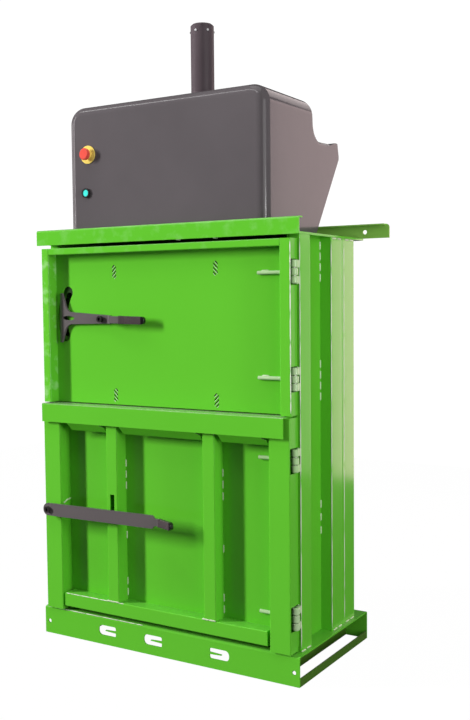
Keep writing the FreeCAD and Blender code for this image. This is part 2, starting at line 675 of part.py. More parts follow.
def make_loading_latch():
    px, pz = loading_pivot_x, LOADING_PIVOT_Z
    left = px - HEAD_REACH
    bend_x = px + JOGGLE_START
    half = HEAD_HEIGHT / 2
    arm = ARM_HEIGHT / 2
    end = ARM_END / 2
    upper = [(bend_x, pz + end + 2), (left + HEAD_ROOT, pz + arm, HEAD_HOLLOW),
             (left + HEAD_TIP, pz + half, HEAD_CORNER - 2), (left, pz + half, HEAD_CORNER)]
    lower = [(c[0], 2 * pz - c[1]) + tuple(c[2:]) for c in reversed(upper)]
    head = prism(upper + lower, "xz", lever_front, lever_back)
    slope = 6.0
    bevel = prism([(left - 1, lever_front - 1), (left + 2 * slope, lever_front - 1),
                   (left + 2 * slope, lever_front), (left, lever_front + slope),
                   (left - 1, lever_front + slope)], "xy", pz - half - 1, pz + half + 1)
    head = head.cut(bevel)
    joggle_x = bend_x + JOGGLE_LENGTH
    arm_x = px + ARM_REACH
    tail_x = arm_x + GRIP_LENGTH - GRIP_EXTRA
    step_front, step_back = lever_front - LEVER_JOGGLE, lever_back - LEVER_JOGGLE
    step = prism([(bend_x - 0.01, lever_front), (joggle_x, step_front), (joggle_x + 2, step_front),
                  (joggle_x + 2, step_back), (joggle_x, step_back), (bend_x - 0.01, lever_back)],
                 "xy", pz - end - 2, pz + end + 2)
    tail = lever_end(joggle_x + 1.9, tail_x, step_front, step_back, pz, ARM_END, end - 1)
    lever = head.fuse([step, tail]).removeSplitter()
    oval_x = px - OVAL_REACH
    oval = Part.Face(Part.Wire(Part.Ellipse(V(0, 0, 0), OVAL_LENGTH / 2, OVAL_HEIGHT / 2).toShape()))
    oval = oval.extrude(V(0, 0, door_back))
    oval.rotate(V(0, 0, 0), V(1, 0, 0), -90)
    oval.translate(V(oval_x, 0, pz))
    lever = lever.cut(oval)
    lever = lever.cut(rod(BOLT_RADIUS + RUNNING_FIT, (px, 0, pz), (px, door_back, pz)))

    mid = (step_front + step_back) / 2
    sleeve = lever_end(arm_x, arm_x + GRIP_LENGTH, mid - GRIP_THICKNESS / 2, mid + GRIP_THICKNESS / 2,
                       pz, grip_height, grip_height / 2 - 1)
    sleeve = edged(sleeve, GRIP_EDGE, lambda b: b.YLength < 1e-6 and b.XMax > arm_x + 1)
    sleeve = sleeve.cut(lever)

    pin_x = px - CATCH_RADIUS
    pin = rod(CATCH_PIN_RADIUS, (pin_x, lever_back, pz), (pin_x, catch_head_front, pz))
    pin = pin.fuse(rod(CATCH_HEAD_RADIUS, (pin_x, catch_head_front, pz),
                       (pin_x, catch_head_front + CATCH_HEAD_THICKNESS, pz)))
    for name, shape in (("loading_lever", lever), ("loading_lever_grip", sleeve),
                        ("loading_catch_pin", pin.removeSplitter())):
        save(name, turned(shape, px, pz, -LOADING_TILT))


def make_loading_keeper():
    """Plate inside the left post: the catch's head enters the round hole and turns behind the slot."""
    px, pz = loading_pivot_x, LOADING_PIVOT_Z
    rest = POINTING_LEFT - LOADING_TILT
    left = -wall_inner
    plate = prism([(left, pz - keeper_half), (keeper_right, pz - keeper_half, 10),
                   (keeper_right, pz + keeper_half, 10), (left, pz + keeper_half)],
                  "xz", keeper_front, keeper_front + KEEPER_SHEET)
    far = keeper_front + KEEPER_SHEET + 1
    plate = plate.cut(arc_slot(px, pz, CATCH_RADIUS, 2 * (CATCH_PIN_RADIUS + KEEPER_CLEARANCE),
                               rest - CATCH_SWING_UP, rest + CATCH_SWING_DOWN, keeper_front - 1, far))
    hole_x = px + CATCH_RADIUS * math.cos(math.radians(rest))
    hole_z = pz + CATCH_RADIUS * math.sin(math.radians(rest))
    plate = plate.cut(rod(CATCH_HEAD_RADIUS + 2 * KEEPER_CLEARANCE, (hole_x, keeper_front - 1, hole_z),
                          (hole_x, far, hole_z)))
    save("loading_keeper", plate)


# ---- bale door ---------------------------------------------------------------------------------
def make_bale_door():
    rail_top = TOP_RAIL_TOP - DOOR_SHEET
    panel = box(bale_left, door_right, panel_front, door_back, BOTTOM_RAIL_Z, TOP_RAIL_TOP)
    hole = STUD_HEAD_RADIUS + 2 * KEEPER_CLEARANCE
    panel = panel.cut(rod(hole, (stud_x, panel_front - 1, stud_z), (stud_x, door_back + 1, stud_z)))
    stile_left = tray(bale_left, bale_inner_left, bale_front, panel_front,
                      BALE_STILE_BOTTOM, rail_top, DOOR_SHEET)
    stile_left = stile_left.cut(rod(BOLT_RADIUS + RUNNING_FIT, (bale_pivot_x, bale_front - 1, BALE_PIVOT_Z),
                                    (bale_pivot_x, bale_front + DOOR_SHEET + 1, BALE_PIVOT_Z)))
    stile_right = tray(bale_inner_right, door_right, bale_front, panel_front,
                       BALE_STILE_BOTTOM, rail_top, DOOR_SHEET)
    room = hinge_x - HINGE_RADIUS - HINGE_NOTCH_CLEARANCE
    for z in BALE_HINGE_ZS:
        panel = panel.cut(hinge_notch(z, room, door_right + 1, panel_front - 1))
        stile_right = stile_right.cut(hinge_notch(z, room, door_right + 1, bale_front + DOOR_SHEET))
        stile_right = stile_right.cut(strap_passage(z, bale_inner_right - 1, room))
    save("bale_door_panel", panel)
    save("bale_door_stile_left", stile_left)
    save("bale_door_stile_right", stile_right)

    foot = BOTTOM_RAIL_Z + BOTTOM_RAIL_HEIGHT
    stiffeners = []
    for x in STIFFENER_XS:
        shape = tray(x - STIFFENER_WIDTH / 2, x + STIFFENER_WIDTH / 2, bale_front, panel_front,
                     foot, rail_top, DOOR_SHEET)
        if x < 0:
            shape = shape.cut(box(x - STIFFENER_SLOT_WIDTH / 2, x + STIFFENER_SLOT_WIDTH / 2,
                                  bale_front - 1, bale_front + DOOR_SHEET + 1,
                                  STIFFENER_SLOT_BOTTOM, STIFFENER_SLOT_TOP))
        stiffeners.append(shape)
    save("bale_door_stiffeners", *stiffeners)

    front = bale_front - TOP_RAIL_PROUD
    low = TOP_RAIL_TOP - TOP_RAIL_HEIGHT
    t = DOOR_SHEET
    rail = prism([(panel_front, TOP_RAIL_TOP), (front, TOP_RAIL_TOP, BEND), (front, low),
                  (front + t, low), (front + t, rail_top), (panel_front, rail_top)],
                 "yz", TOP_RAIL_INSETS[0] - body_half, body_half - TOP_RAIL_INSETS[1])
    half = STIFFENER_WIDTH / 2
    spans = ((bale_inner_left, STIFFENER_XS[0] - half), (STIFFENER_XS[0] + half, STIFFENER_XS[1] - half),
             (STIFFENER_XS[1] + half, bale_inner_right))
    bevel = t * (math.sqrt(2) - 1)
    for (x0, x1), gap in zip(spans, TOP_RAIL_LIP_GAPS):
        x0, x1 = x0 + gap, x1 - TOP_RAIL_LIP_END
        fold = x1 - TOP_RAIL_RELIEF[0]
        lip = prism([(front, low), (front + TOP_RAIL_LIP, low - TOP_RAIL_LIP),
                     (front + TOP_RAIL_LIP + t - bevel, low - TOP_RAIL_LIP + t - bevel),
                     (front + t, low + bevel)], "yz", x0, x1)
        ends = prism([(x0, low + t), (fold, low + t), (fold, low), (x1, low - TOP_RAIL_RELIEF[1]),
                      (x1, low - TOP_RAIL_LIP - t), (x0, low - TOP_RAIL_LIP - t)], "xz", front - 1, panel_front)
        rail = rail.fuse(lip.common(ends))
    save("bale_door_top_rail", rail.removeSplitter())
    save("bale_door_bottom_rail",
         tray(bale_inner_left + BOTTOM_RAIL_GAP, bale_inner_right - BOTTOM_RAIL_GAP, bale_front,
              panel_front, BOTTOM_RAIL_Z, foot, DOOR_SHEET, upright=False))


def make_bale_latch():
    px, pz = bale_pivot_x, BALE_PIVOT_Z
    y0, y1 = bale_lever_front, bale_lever_back
    half = ARM_HEIGHT / 2
    end_x = px + BALE_BAR_LENGTH
    neck = BALE_NECK_HEIGHT / 2
    bar = prism([(px - half, pz - half, half - 0.5), (end_x - 8, pz - half, 2), (end_x, pz - neck),
                 (end_x + BALE_NECK, pz - neck), (end_x + BALE_NECK, pz + neck), (end_x, pz + neck),
                 (end_x - 8, pz + half, 2), (px - half, pz + half, half - 0.5)], "xz", y0, y1)
    grip_x = end_x + BALE_NECK
    mid = (y0 + y1) / 2
    tang = lever_end(grip_x - 2, grip_x + BALE_GRIP_START + BALE_GRIP_LENGTH - GRIP_EXTRA - 2, y0, y1, pz,
                     BALE_NECK_HEIGHT, neck - 1)
    sleeve_x = grip_x + BALE_GRIP_START
    sleeve = lever_end(sleeve_x, sleeve_x + BALE_GRIP_LENGTH, mid - GRIP_THICKNESS / 2,
                       mid + GRIP_THICKNESS / 2, pz, BALE_GRIP_HEIGHT, BALE_GRIP_HEIGHT / 2 - 1)
    sleeve = edged(sleeve, GRIP_EDGE, lambda b: b.YLength < 1e-6 and b.XMax > sleeve_x + 1)
    for shape in (tang, sleeve):
        shape.rotate(V(grip_x, mid, pz), V(0, 0, 1), -BALE_GRIP_ANGLE)
    lever = bar.fuse(tang).removeSplitter()
    sleeve = sleeve.cut(lever)
    lever = lever.cut(rod(BOLT_RADIUS, (px, y0 - 1, pz), (px, y1 + 1, pz)))

    head = rod(BOLT_HEAD_RADIUS, (px, y0 - BOLT_HEAD_HEIGHT + 2, pz), (px, y0, pz))
    head = head.cut(rod(SOCKET_RADIUS, (px, y0 - BOLT_HEAD_HEIGHT, pz), (px, y0 - 4, pz)))
    shaft = head.fuse([rod(BOLT_RADIUS, (px, y0, pz), (px, CAM_Y + CAM_THICKNESS, pz)),
                       rod(BOLT_HEAD_RADIUS, (px, y1, pz), (px, bale_front - RUNNING_FIT, pz)),
                       rod(BOLT_HEAD_RADIUS, (px, bale_front + DOOR_SHEET + RUNNING_FIT, pz), (px, CAM_Y, pz))])
    cam = Part.makeCylinder(CAM_WAIST, CAM_THICKNESS, V(px, CAM_Y, pz), V(0, 1, 0))
    wing = Part.makeCylinder(CAM_RADIUS, CAM_THICKNESS, V(px, CAM_Y, pz), V(0, 1, 0))
    wing = wing.common(box(px + 4, px + CAM_RADIUS + 1, CAM_Y, CAM_Y + CAM_THICKNESS,
                           pz - CAM_WAIST, pz + CAM_WAIST))
    wing.rotate(V(px, CAM_Y, pz), V(0, 1, 0), -CAM_LEAD)
    shaft = shaft.fuse([cam, wing]).removeSplitter()
    for name, shape in (("bale_lever", lever), ("bale_lever_grip", sleeve), ("bale_latch_shaft", shaft)):
        save(name, turned(shape, px, pz, BALE_TILT))


def make_bale_keeper():
    """Headed stud on the left post: the cam turns behind its head."""
    head_back = CAM_Y - STUD_HEAD_GAP
    stud = rod(STUD_RADIUS, (stud_x, head_back, stud_z), (stud_x, BODY_SETBACK, stud_z))
    stud = stud.fuse(rod(STUD_HEAD_RADIUS, (stud_x, head_back - STUD_HEAD_THICKNESS, stud_z),
                         (stud_x, head_back, stud_z)))
    save("bale_keeper", stud.removeSplitter())


# ---- hood --------------------------------------------------------------------------------------
def hood_form(inset, bottom):
    """The hood's outer form, or with an inset the space inside its wall."""
    front, top = HOOD_FRONT + inset, HOOD_TOP - inset
    waist = HOOD_BACK_WAIST - inset
    shelf = HOOD_SHELF_Z - inset
    lip_z = HOOD_SHELF_Z + HOOD_SHELF_RISE
    slant = (HOOD_BACK - HOOD_FOOT_BACK) / (lip_z - HOOD_LIP - roof_top)
    foot = HOOD_FOOT_BACK - inset * math.sqrt(1 + slant ** 2)
    low_lip = lip_z - HOOD_LIP
    lip = HOOD_LIP_RADIUS - inset
    corners = [(front, bottom), (front, top), (HOOD_BACK_TOP - inset, top),
               (waist, shelf, HOOD_WAIST_RADIUS + inset),
               (HOOD_BACK - HOOD_BACK_SLOPE - 2 * HOOD_LIP_WIDTH, lip_z - HOOD_LIP_RIDGE - inset),
               (HOOD_BACK - HOOD_BACK_SLOPE - HOOD_LIP_WIDTH, lip_z - inset),
               (HOOD_BACK - HOOD_BACK_SLOPE - inset, lip_z - inset),
               (HOOD_BACK - 1.2 * inset, low_lip, lip),
               (foot + (bottom - roof_top) * slant, bottom)]
    half = HOOD_WIDTH / 2 - inset
    form = prism(corners, "yz", -half, half)

    def lies(edge, **limits):
        b = edge.BoundBox
        ends = {"x": (b.XMin, b.XMax), "y": (b.YMin, b.YMax), "z": (b.ZMin, b.ZMax)}
        return all(abs(ends[k][0] - v) < 0.5 and abs(ends[k][1] - v) < 0.5 for k, v in limits.items())

    sides = [e for e in form.Edges if lies(e, x=half, z=top) or lies(e, x=-half, z=top)]
    form = form.makeFillet(HOOD_SIDE_EDGE - inset, sides)
    front_loop = [e for e in form.Edges if lies(e, y=front) and e.BoundBox.ZMax > bottom + 1]
    form = form.makeFillet(HOOD_EDGE - inset, front_loop)
    back = [e for e in form.Edges if lies(e, y=HOOD_BACK_TOP - inset, z=top)]
    return form.makeFillet(HOOD_REAR_EDGE - inset / 2, back)


def make_hood():
    shell = hood_form(0, roof_top).cut(hood_form(HOOD_WALL, roof_top - 5))
    shell = shell.cut(rod(COVER_RADIUS + COVER_FIT, (0, CYLINDER_Y, HOOD_TOP - HOOD_EDGE),
                          (0, CYLINDER_Y, HOOD_TOP + 5)))
    for x, z, radius in ((STOP_X, STOP_Z, STOP_STEM_RADIUS), (START_X, START_Z, START_LENS_RADIUS)):
        hole = radius + 2 * BUTTON_FIT
        shell = shell.cut(rod(hole, (x, HOOD_FRONT - 1, z), (x, HOOD_FRONT + HOOD_WALL + 1, z)))
    save("hood", shell)


# ---- press -------------------------------------------------------------------------------------
def at_centre(radius, z0, z1):
    return Part.makeCylinder(radius, z1 - z0, V(0, CYLINDER_Y, z0))


def make_press():
    flange_bottom = roof_top
    flange_top = roof_top + FLANGE_HEIGHT
    half = FLANGE_SIZE / 2
    flange = block(-half, half, CYLINDER_Y - half, CYLINDER_Y + half, flange_bottom, flange_top, 12)
    places = [(sx * FLANGE_BOLT_X, CYLINDER_Y + sy * FLANGE_BOLT_X) for sx in (-1, 1) for sy in (-1, 1)]
    bolts = []
    for x, y in places:
        flange = flange.cut(rod(FLANGE_BOLT_RADIUS, (x, y, flange_bottom - 1), (x, y, flange_top + 1)))
        shank = rod(FLANGE_BOLT_RADIUS, (x, y, flange_bottom), (x, y, flange_top))
        head = Part.Face(Part.makePolygon([V(x + FLANGE_BOLT_HEAD * math.cos(math.radians(60 * i)),
                                             y + FLANGE_BOLT_HEAD * math.sin(math.radians(60 * i)),
                                             flange_top) for i in range(7)])).extrude(V(0, 0, 7))
        bolts.append(shank.fuse(head).removeSplitter())
    save("cylinder_bolts", *bolts)

    gland_top = barrel_bottom + GLAND_HEIGHT
    barrel_shape = at_centre(BARREL_RADIUS, barrel_bottom, barrel_top)
    barrel_shape = barrel_shape.cut(at_centre(BORE_RADIUS, barrel_bottom - 1, barrel_top - BARREL_CAP))
    port_x = -BARREL_RADIUS - PORT_REACH
    port = rod(PORT_RADIUS, (port_x, CYLINDER_Y, port_z), (-BORE_RADIUS - 3, CYLINDER_Y, port_z))
    flange = flange.cut(at_centre(BARREL_RADIUS - 1, flange_bottom - 1, flange_top + 1))
    save("cylinder_barrel", barrel_shape.fuse([port, flange]).removeSplitter())
    gland = at_centre(BORE_RADIUS, barrel_bottom, gland_top)
    gland = gland.fuse(at_centre(BARREL_RADIUS, barrel_bottom - 8, barrel_bottom))
    save("cylinder_gland", gland.cut(at_centre(ROD_RADIUS + RUNNING_FIT, barrel_bottom - 10,
                                               gland_top + 1)).removeSplitter())

    piston_top = barrel_top - BARREL_CAP - 3
    piston = at_centre(BORE_RADIUS - RUNNING_FIT, piston_top - PISTON_HEIGHT, piston_top)
    rod_foot = PLATEN_BOTTOM + PLATEN_SHEET + PLATEN_RIB_HEIGHT
    save("ram_piston", piston)
    ram = at_centre(ROD_RADIUS, rod_foot, piston_top - PISTON_HEIGHT)
    save("ram_rod", ram.fuse(at_centre(ROD_FOOT_RADIUS, rod_foot, rod_foot + ROD_FOOT_HEIGHT)).removeSplitter())

    x1 = wall_inner - PLATEN_CLEARANCE
    y0, y1 = BODY_SETBACK + PLATEN_CLEARANCE, body_back - WALL_SHEET - PLATEN_CLEARANCE
    platen_top = PLATEN_BOTTOM + PLATEN_SHEET
    notch_x = keeper_right + PLATEN_CLEARANCE
    notch_y = catch_head_front + CATCH_HEAD_THICKNESS + PLATEN_CLEARANCE
    plate = box(-x1, x1, y0, y1, PLATEN_BOTTOM, platen_top)
    plate = plate.cut(box(-x1 - 1, notch_x, y0 - 1, notch_y, PLATEN_BOTTOM - 1, platen_top + 1))
    for x, side in STRAP_SLOTS:
        plate = plate.cut(box(x - FLOOR_GROOVE_WIDTH / 2, x + FLOOR_GROOVE_WIDTH / 2, y0 - 1, y1 + 1,
                              PLATEN_BOTTOM - 1, PLATEN_BOTTOM + PLATEN_SHEET / 2))
    save("platen", plate)
    stiffening = []
    beams = (CYLINDER_Y - PLATEN_BEAM_SPACING / 2, CYLINDER_Y + PLATEN_BEAM_SPACING / 2)
    for y in beams:
        low, high = y - PLATEN_BEAM_WIDTH / 2, y + PLATEN_BEAM_WIDTH / 2
        t = PLATEN_RIB_SHEET
        section = [(low, platen_top), (low, rod_foot, t / 2), (high, rod_foot, t / 2), (high, platen_top),
                   (high - t, platen_top), (high - t, rod_foot - t), (low + t, rod_foot - t),
                   (low + t, platen_top)]
        stiffening.append(prism(section, "yz", -x1 + PLATEN_RIB_INSET, x1 - PLATEN_RIB_INSET))
    front_end, back_end = notch_y + PLATEN_RIB_INSET, y1 - PLATEN_RIB_INSET
    beam_front = beams[0] - PLATEN_BEAM_WIDTH / 2
    beam_back = beams[1] + PLATEN_BEAM_WIDTH / 2
    for x in (-x1 + 2 * PLATEN_RIB_INSET, 0, x1 - 2 * PLATEN_RIB_INSET):
        for root, end in ((beam_front, front_end), (beam_back, back_end)):
            gusset = prism([(root, platen_top), (root, rod_foot - 5), (end, platen_top + 12),
                            (end, platen_top)], "yz", x - PLATEN_RIB_SHEET / 2, x + PLATEN_RIB_SHEET / 2)
            stiffening.append(gusset)
    save("platen_ribs", *stiffening)

    cover_bottom = HOOD_TOP - HOOD_WALL
    cover = at_centre(COVER_RADIUS, cover_bottom, COVER_TOP)
    cover = cover.cut(at_centre(COVER_RADIUS - COVER_WALL, cover_bottom - 1, COVER_TOP + 1))
    screws = []
    screw_z = COVER_TOP - COVER_SCREW_DROP
    for i in range(COVER_SCREWS):
        angle = math.radians(360.0 * i / COVER_SCREWS + 30)
        way = V(math.cos(angle), math.sin(angle), 0)
        base = V(0, CYLINDER_Y, screw_z) + way * (COVER_RADIUS - COVER_WALL)
        hole = Part.makeCylinder(COVER_SCREW_RADIUS / 2, COVER_WALL + 2, base - way, way)
        cover = cover.cut(hole)
        stem = Part.makeCylinder(COVER_SCREW_RADIUS / 2, COVER_WALL, base, way)
        head = Part.makeCylinder(COVER_SCREW_RADIUS, 2.0, base + way * (COVER_WALL + 0.2), way)
        screws.append(stem.fuse(Part.makeCylinder(COVER_SCREW_RADIUS / 2, 1.0, base + way * 2.5, way))
                      .fuse(head).removeSplitter())
    save("cover_tube", cover)
    save("cover_screws", *screws)
    rim = COVER_TOP + COVER_CAP_RIM
    crown = COVER_TOP + COVER_CAP
    half_profile = prism([(0, COVER_TOP), (COVER_RADIUS, COVER_TOP), (COVER_RADIUS, rim),
                          (0.85 * COVER_RADIUS, (rim + crown) / 2 + 1), (0.45 * COVER_RADIUS, crown), (0, crown)],
                         "xz", 0, 1).Faces
    profile = [face for face in half_profile if face.BoundBox.YMax < 1e-6][0]
    cap = profile.revolve(V(0, 0, 0), V(0, 0, 1), 360)
    cap.translate(V(0, CYLINDER_Y, 0))
    save("cover_cap", cap)


def bent_tube(points, radius, bend):
    """A tube along straight runs joined by tangent arcs."""
    stations = [V(*p) for p in points]
    edges = []
    here = stations[0]
    for i in range(1, len(stations) - 1):
        back = (stations[i - 1] - stations[i]).normalize()
        ahead = (stations[i + 1] - stations[i]).normalize()
        half = back.getAngle(ahead) / 2
        run = bend / math.tan(half)
        start, end = stations[i] + back * run, stations[i] + ahead * run
        middle = stations[i] + (back + ahead).normalize() * (bend / math.sin(half) - bend)
        edges += [Part.makeLine(here, start), Part.Arc(start, middle, end).toShape()]
        here = end
    edges.append(Part.makeLine(here, stations[-1]))
    path = Part.Wire(edges)
    section = Part.Wire(Part.makeCircle(radius, stations[0], stations[1] - stations[0]))
    return path.makePipeShell([section], True, False)


def make_power_unit():
    x0, x1 = TANK_LEFT, TANK_LEFT + TANK_WIDTH
    y0, y1 = TANK_FRONT, TANK_FRONT + TANK_DEPTH
    tank_top = roof_top + TANK_HEIGHT
    lid_top = tank_top + TANK_LID
    save("oil_tank", block(x0, x1, y0, y1, roof_top, tank_top, TANK_CORNER))
    save("tank_lid", block(x0 - 6, x1 + 6, y0 - 6, y1 + 6, tank_top, lid_top, TANK_CORNER + 6))
    motor_x, motor_y = x0 + MOTOR_RADIUS + 20, (y0 + y1) / 2
    motor = Part.makeCylinder(MOTOR_RADIUS, MOTOR_HEIGHT, V(motor_x, motor_y, lid_top))
    motor = edged(motor, MOTOR_EDGE, lambda b: b.ZMin > lid_top + 1 and b.ZLength < 1e-6)
    save("pump_motor", motor)
    vx1 = x1 - 6
    vx0 = vx1 - VALVE_WIDTH
    vy0 = CYLINDER_Y - VALVE_DEPTH
    save("valve_block", block(vx0, vx1, vy0, vy0 + VALVE_DEPTH, lid_top, lid_top + VALVE_HEIGHT, 4))

    port_x = -BARREL_RADIUS - PORT_REACH
    low = lid_top + HOSE_RADIUS * 3
    drop_x = (vx1 + port_x) / 2 - 4
    rod_end = bent_tube([(vx1, CYLINDER_Y - 12, low), (drop_x, CYLINDER_Y - 12, low),
                         (drop_x, CYLINDER_Y, port_z), (port_x, CYLINDER_Y, port_z)],
                         HOSE_RADIUS, HOSE_BEND)
    pipe_y = CYLINDER_Y - BARREL_RADIUS - PIPE_RADIUS - 0.5
    pipe_top = barrel_top - BARREL_CAP / 2
    pipe = bent_tube([(0, pipe_y, PIPE_FOOT), (0, pipe_y, pipe_top - 8)], PIPE_RADIUS, 5.0)
    elbow = box(-4, 4, pipe_y - PIPE_RADIUS, CYLINDER_Y - BARREL_RADIUS + 0.2, pipe_top - 8, pipe_top + 6)
    elbow = elbow.cut(at_centre(BARREL_RADIUS, pipe_top - 20, pipe_top + 20))
    save("cap_end_pipe", pipe.fuse(elbow).removeSplitter())
    high = lid_top + VALVE_HEIGHT - HOSE_RADIUS * 3
    end_y = CYLINDER_Y - BARREL_RADIUS - HOSE_RADIUS - 0.5
    cap_end = bent_tube([(vx1, end_y, high), (0, end_y, high), (0, end_y, PIPE_FOOT)],
                        HOSE_RADIUS, 1.6 * HOSE_BEND)
    save("hoses", rod_end, cap_end)
    width, depth, height = CONTROL_BOX
    inner = HOOD_FRONT + HOOD_WALL
    middle_x = STOP_X + CONTROL_SHIFT
    middle_z = (STOP_Z + START_Z) / 2
    save("control_box", block(middle_x - width / 2, middle_x + width / 2, inner, inner + depth,
                              middle_z - height / 2, middle_z + height / 2, 5))


# ---- buttons -----------------------------------------------------------------------------------
def facing(radius, x, z, y0, y1):
    return rod(radius, (x, y0, z), (x, y1, z))


def make_buttons():
    plate_front = HOOD_FRONT - STOP_PLATE_SHEET
    collar_front = plate_front - STOP_COLLAR_LENGTH
    bore = STOP_STEM_RADIUS + BUTTON_FIT
    plate = facing(STOP_PLATE_RADIUS, STOP_X, STOP_Z, plate_front, HOOD_FRONT)
    plate = plate.fuse(facing(STOP_COLLAR_RADIUS, STOP_X, STOP_Z, collar_front, plate_front))
    save("stop_button_plate", plate.cut(facing(bore, STOP_X, STOP_Z, collar_front - 1,
                                               HOOD_FRONT + 1)).removeSplitter())
    head_back = collar_front - STOP_TRAVEL - 2 * BUTTON_FIT
    head = facing(STOP_HEAD_RADIUS, STOP_X, STOP_Z, head_back - STOP_HEAD_LENGTH, head_back)
    head = edged(head, STOP_HEAD_EDGE, lambda b: b.YMax < head_back - 1 and b.YLength < 1e-6)
    head = head.fuse(facing(STOP_STEM_RADIUS, STOP_X, STOP_Z, head_back, plate_front))
    save("stop_button_head", head.removeSplitter())
    bezel_front = HOOD_FRONT - START_BEZEL_LENGTH
    bezel = facing(START_BEZEL_RADIUS, START_X, START_Z, bezel_front, HOOD_FRONT)
    save("start_button_bezel", bezel.cut(facing(START_LENS_RADIUS + BUTTON_FIT, START_X, START_Z,
                                                bezel_front - 1, HOOD_FRONT + 1)))
    lens_back = HOOD_FRONT + HOOD_WALL - START_TRAVEL - BUTTON_FIT
    lens_front = bezel_front + START_LENS_INSET
    save("start_button_lens", facing(START_LENS_RADIUS, START_X, START_Z, lens_front, lens_back))


make_base()
make_body()
make_roof()
make_hinges()
make_loading_door()
make_loading_latch()
make_loading_keeper()
make_bale_door()
make_bale_latch()
make_bale_keeper()
make_hood()
make_press()
make_power_unit()
make_buttons()

whole = FreeCAD.BoundBox()
for shape in saved.values():
    whole.add(shape.BoundBox)
print(len(saved), "nodes;", whole)
print("front plane y", origin_shift.y)
for name, shape in saved.items():
    if not shape.Solids or not all(solid.isValid() for solid in shape.Solids):
        print("not valid:", name)
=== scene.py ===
import math

import bmesh
import bpy
from mathutils import Matrix, Vector


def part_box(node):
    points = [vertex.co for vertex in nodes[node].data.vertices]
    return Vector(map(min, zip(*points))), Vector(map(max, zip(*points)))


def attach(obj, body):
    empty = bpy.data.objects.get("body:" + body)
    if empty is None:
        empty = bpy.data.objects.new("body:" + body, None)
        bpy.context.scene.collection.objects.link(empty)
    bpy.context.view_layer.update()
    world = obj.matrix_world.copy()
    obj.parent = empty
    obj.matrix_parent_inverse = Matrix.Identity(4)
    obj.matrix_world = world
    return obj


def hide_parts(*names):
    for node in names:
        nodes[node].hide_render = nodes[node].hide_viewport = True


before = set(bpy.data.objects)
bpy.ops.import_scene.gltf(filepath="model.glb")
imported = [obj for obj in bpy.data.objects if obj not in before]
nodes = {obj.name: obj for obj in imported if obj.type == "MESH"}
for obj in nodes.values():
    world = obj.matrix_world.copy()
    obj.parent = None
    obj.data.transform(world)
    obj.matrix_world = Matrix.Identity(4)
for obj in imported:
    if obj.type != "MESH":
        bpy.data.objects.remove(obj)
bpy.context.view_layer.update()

# ---- press box ---------------------------------------------------------------------------------
# The box that the bale is pressed in: folded sheet, channels and posts welded to a base and a roof.
# Mild steel, powder coated bright green after welding, with the slight orange peel of baked powder.
powder = bpy.data.node_groups.new("baked_powder", "ShaderNodeTree")
for socket, kind, value in (("Coat", "NodeSocketColor", (0.5, 0.5, 0.5, 1)),
                            ("Faded", "NodeSocketColor", (0.5, 0.5, 0.5, 1)),
                            ("Dust and sheen", "NodeSocketFloat", 0.1),
                            ("Gloss spread", "NodeSocketFloat", 0.06),
                            ("Gloss", "NodeSocketFloat", 0.3),
                            ("Scuffs", "NodeSocketFloat", 0.0)):
    powder.interface.new_socket(socket, in_out="INPUT", socket_type=kind).default_value = value
for socket, kind in (("Color", "NodeSocketColor"), ("Roughness", "NodeSocketFloat"),
                     ("Peel", "NodeSocketFloat")):
    powder.interface.new_socket(socket, in_out="OUTPUT", socket_type=kind)
given = powder.nodes.new("NodeGroupInput")
result = powder.nodes.new("NodeGroupOutput")
where = powder.nodes.new("ShaderNodeTexCoord")
cloud = powder.nodes.new("ShaderNodeTexNoise")
cloud.inputs["Scale"].default_value = 2.6
cloud.inputs["Detail"].default_value = 4
peel = powder.nodes.new("ShaderNodeTexNoise")
peel.inputs["Scale"].default_value = 420
peel.inputs["Detail"].default_value = 1.5
fade = powder.nodes.new("ShaderNodeMix")
fade.data_type = "RGBA"
facing = powder.nodes.new("ShaderNodeNewGeometry")
split = powder.nodes.new("ShaderNodeSeparateXYZ")
# Upward faces go pale with specks of dust. Where this is set high, as on the bale door's top rail, the pale
# is also a painted highlight on the top.
facing_up_speck = powder.nodes.new("ShaderNodeMath")
facing_up_speck.operation = "MULTIPLY"
facing_up_speck.use_clamp = True
speck = powder.nodes.new("ShaderNodeTexNoise")
speck.inputs["Scale"].default_value = 55
speck.inputs["Detail"].default_value = 5
lying_dust_and_sheen = powder.nodes.new("ShaderNodeMath")
lying_dust_and_sheen.operation = "MULTIPLY"
lying_dust_and_sheen.use_clamp = True
dust_and_sheen_mix = powder.nodes.new("ShaderNodeMix")
dust_and_sheen_mix.data_type = "RGBA"
dust_and_sheen_mix.inputs["B"].default_value = (0.42, 0.40, 0.36, 1)
spread = powder.nodes.new("ShaderNodeMath")
spread.operation = "MULTIPLY_ADD"
touch = powder.nodes.new("ShaderNodeTexNoise")
touch.inputs["Scale"].default_value = 30
touch.inputs["Detail"].default_value = 6
touched = powder.nodes.new("ShaderNodeMapRange")
touched.inputs["From Min"].default_value = 0.52
touched.inputs["From Max"].default_value = 0.72
scuffed = powder.nodes.new("ShaderNodeMath")
scuffed.operation = "MULTIPLY"
rubbed = powder.nodes.new("ShaderNodeMix")
rubbed.data_type = "RGBA"
rubbed.inputs["B"].default_value = (0.46, 0.76, 0.36, 1)
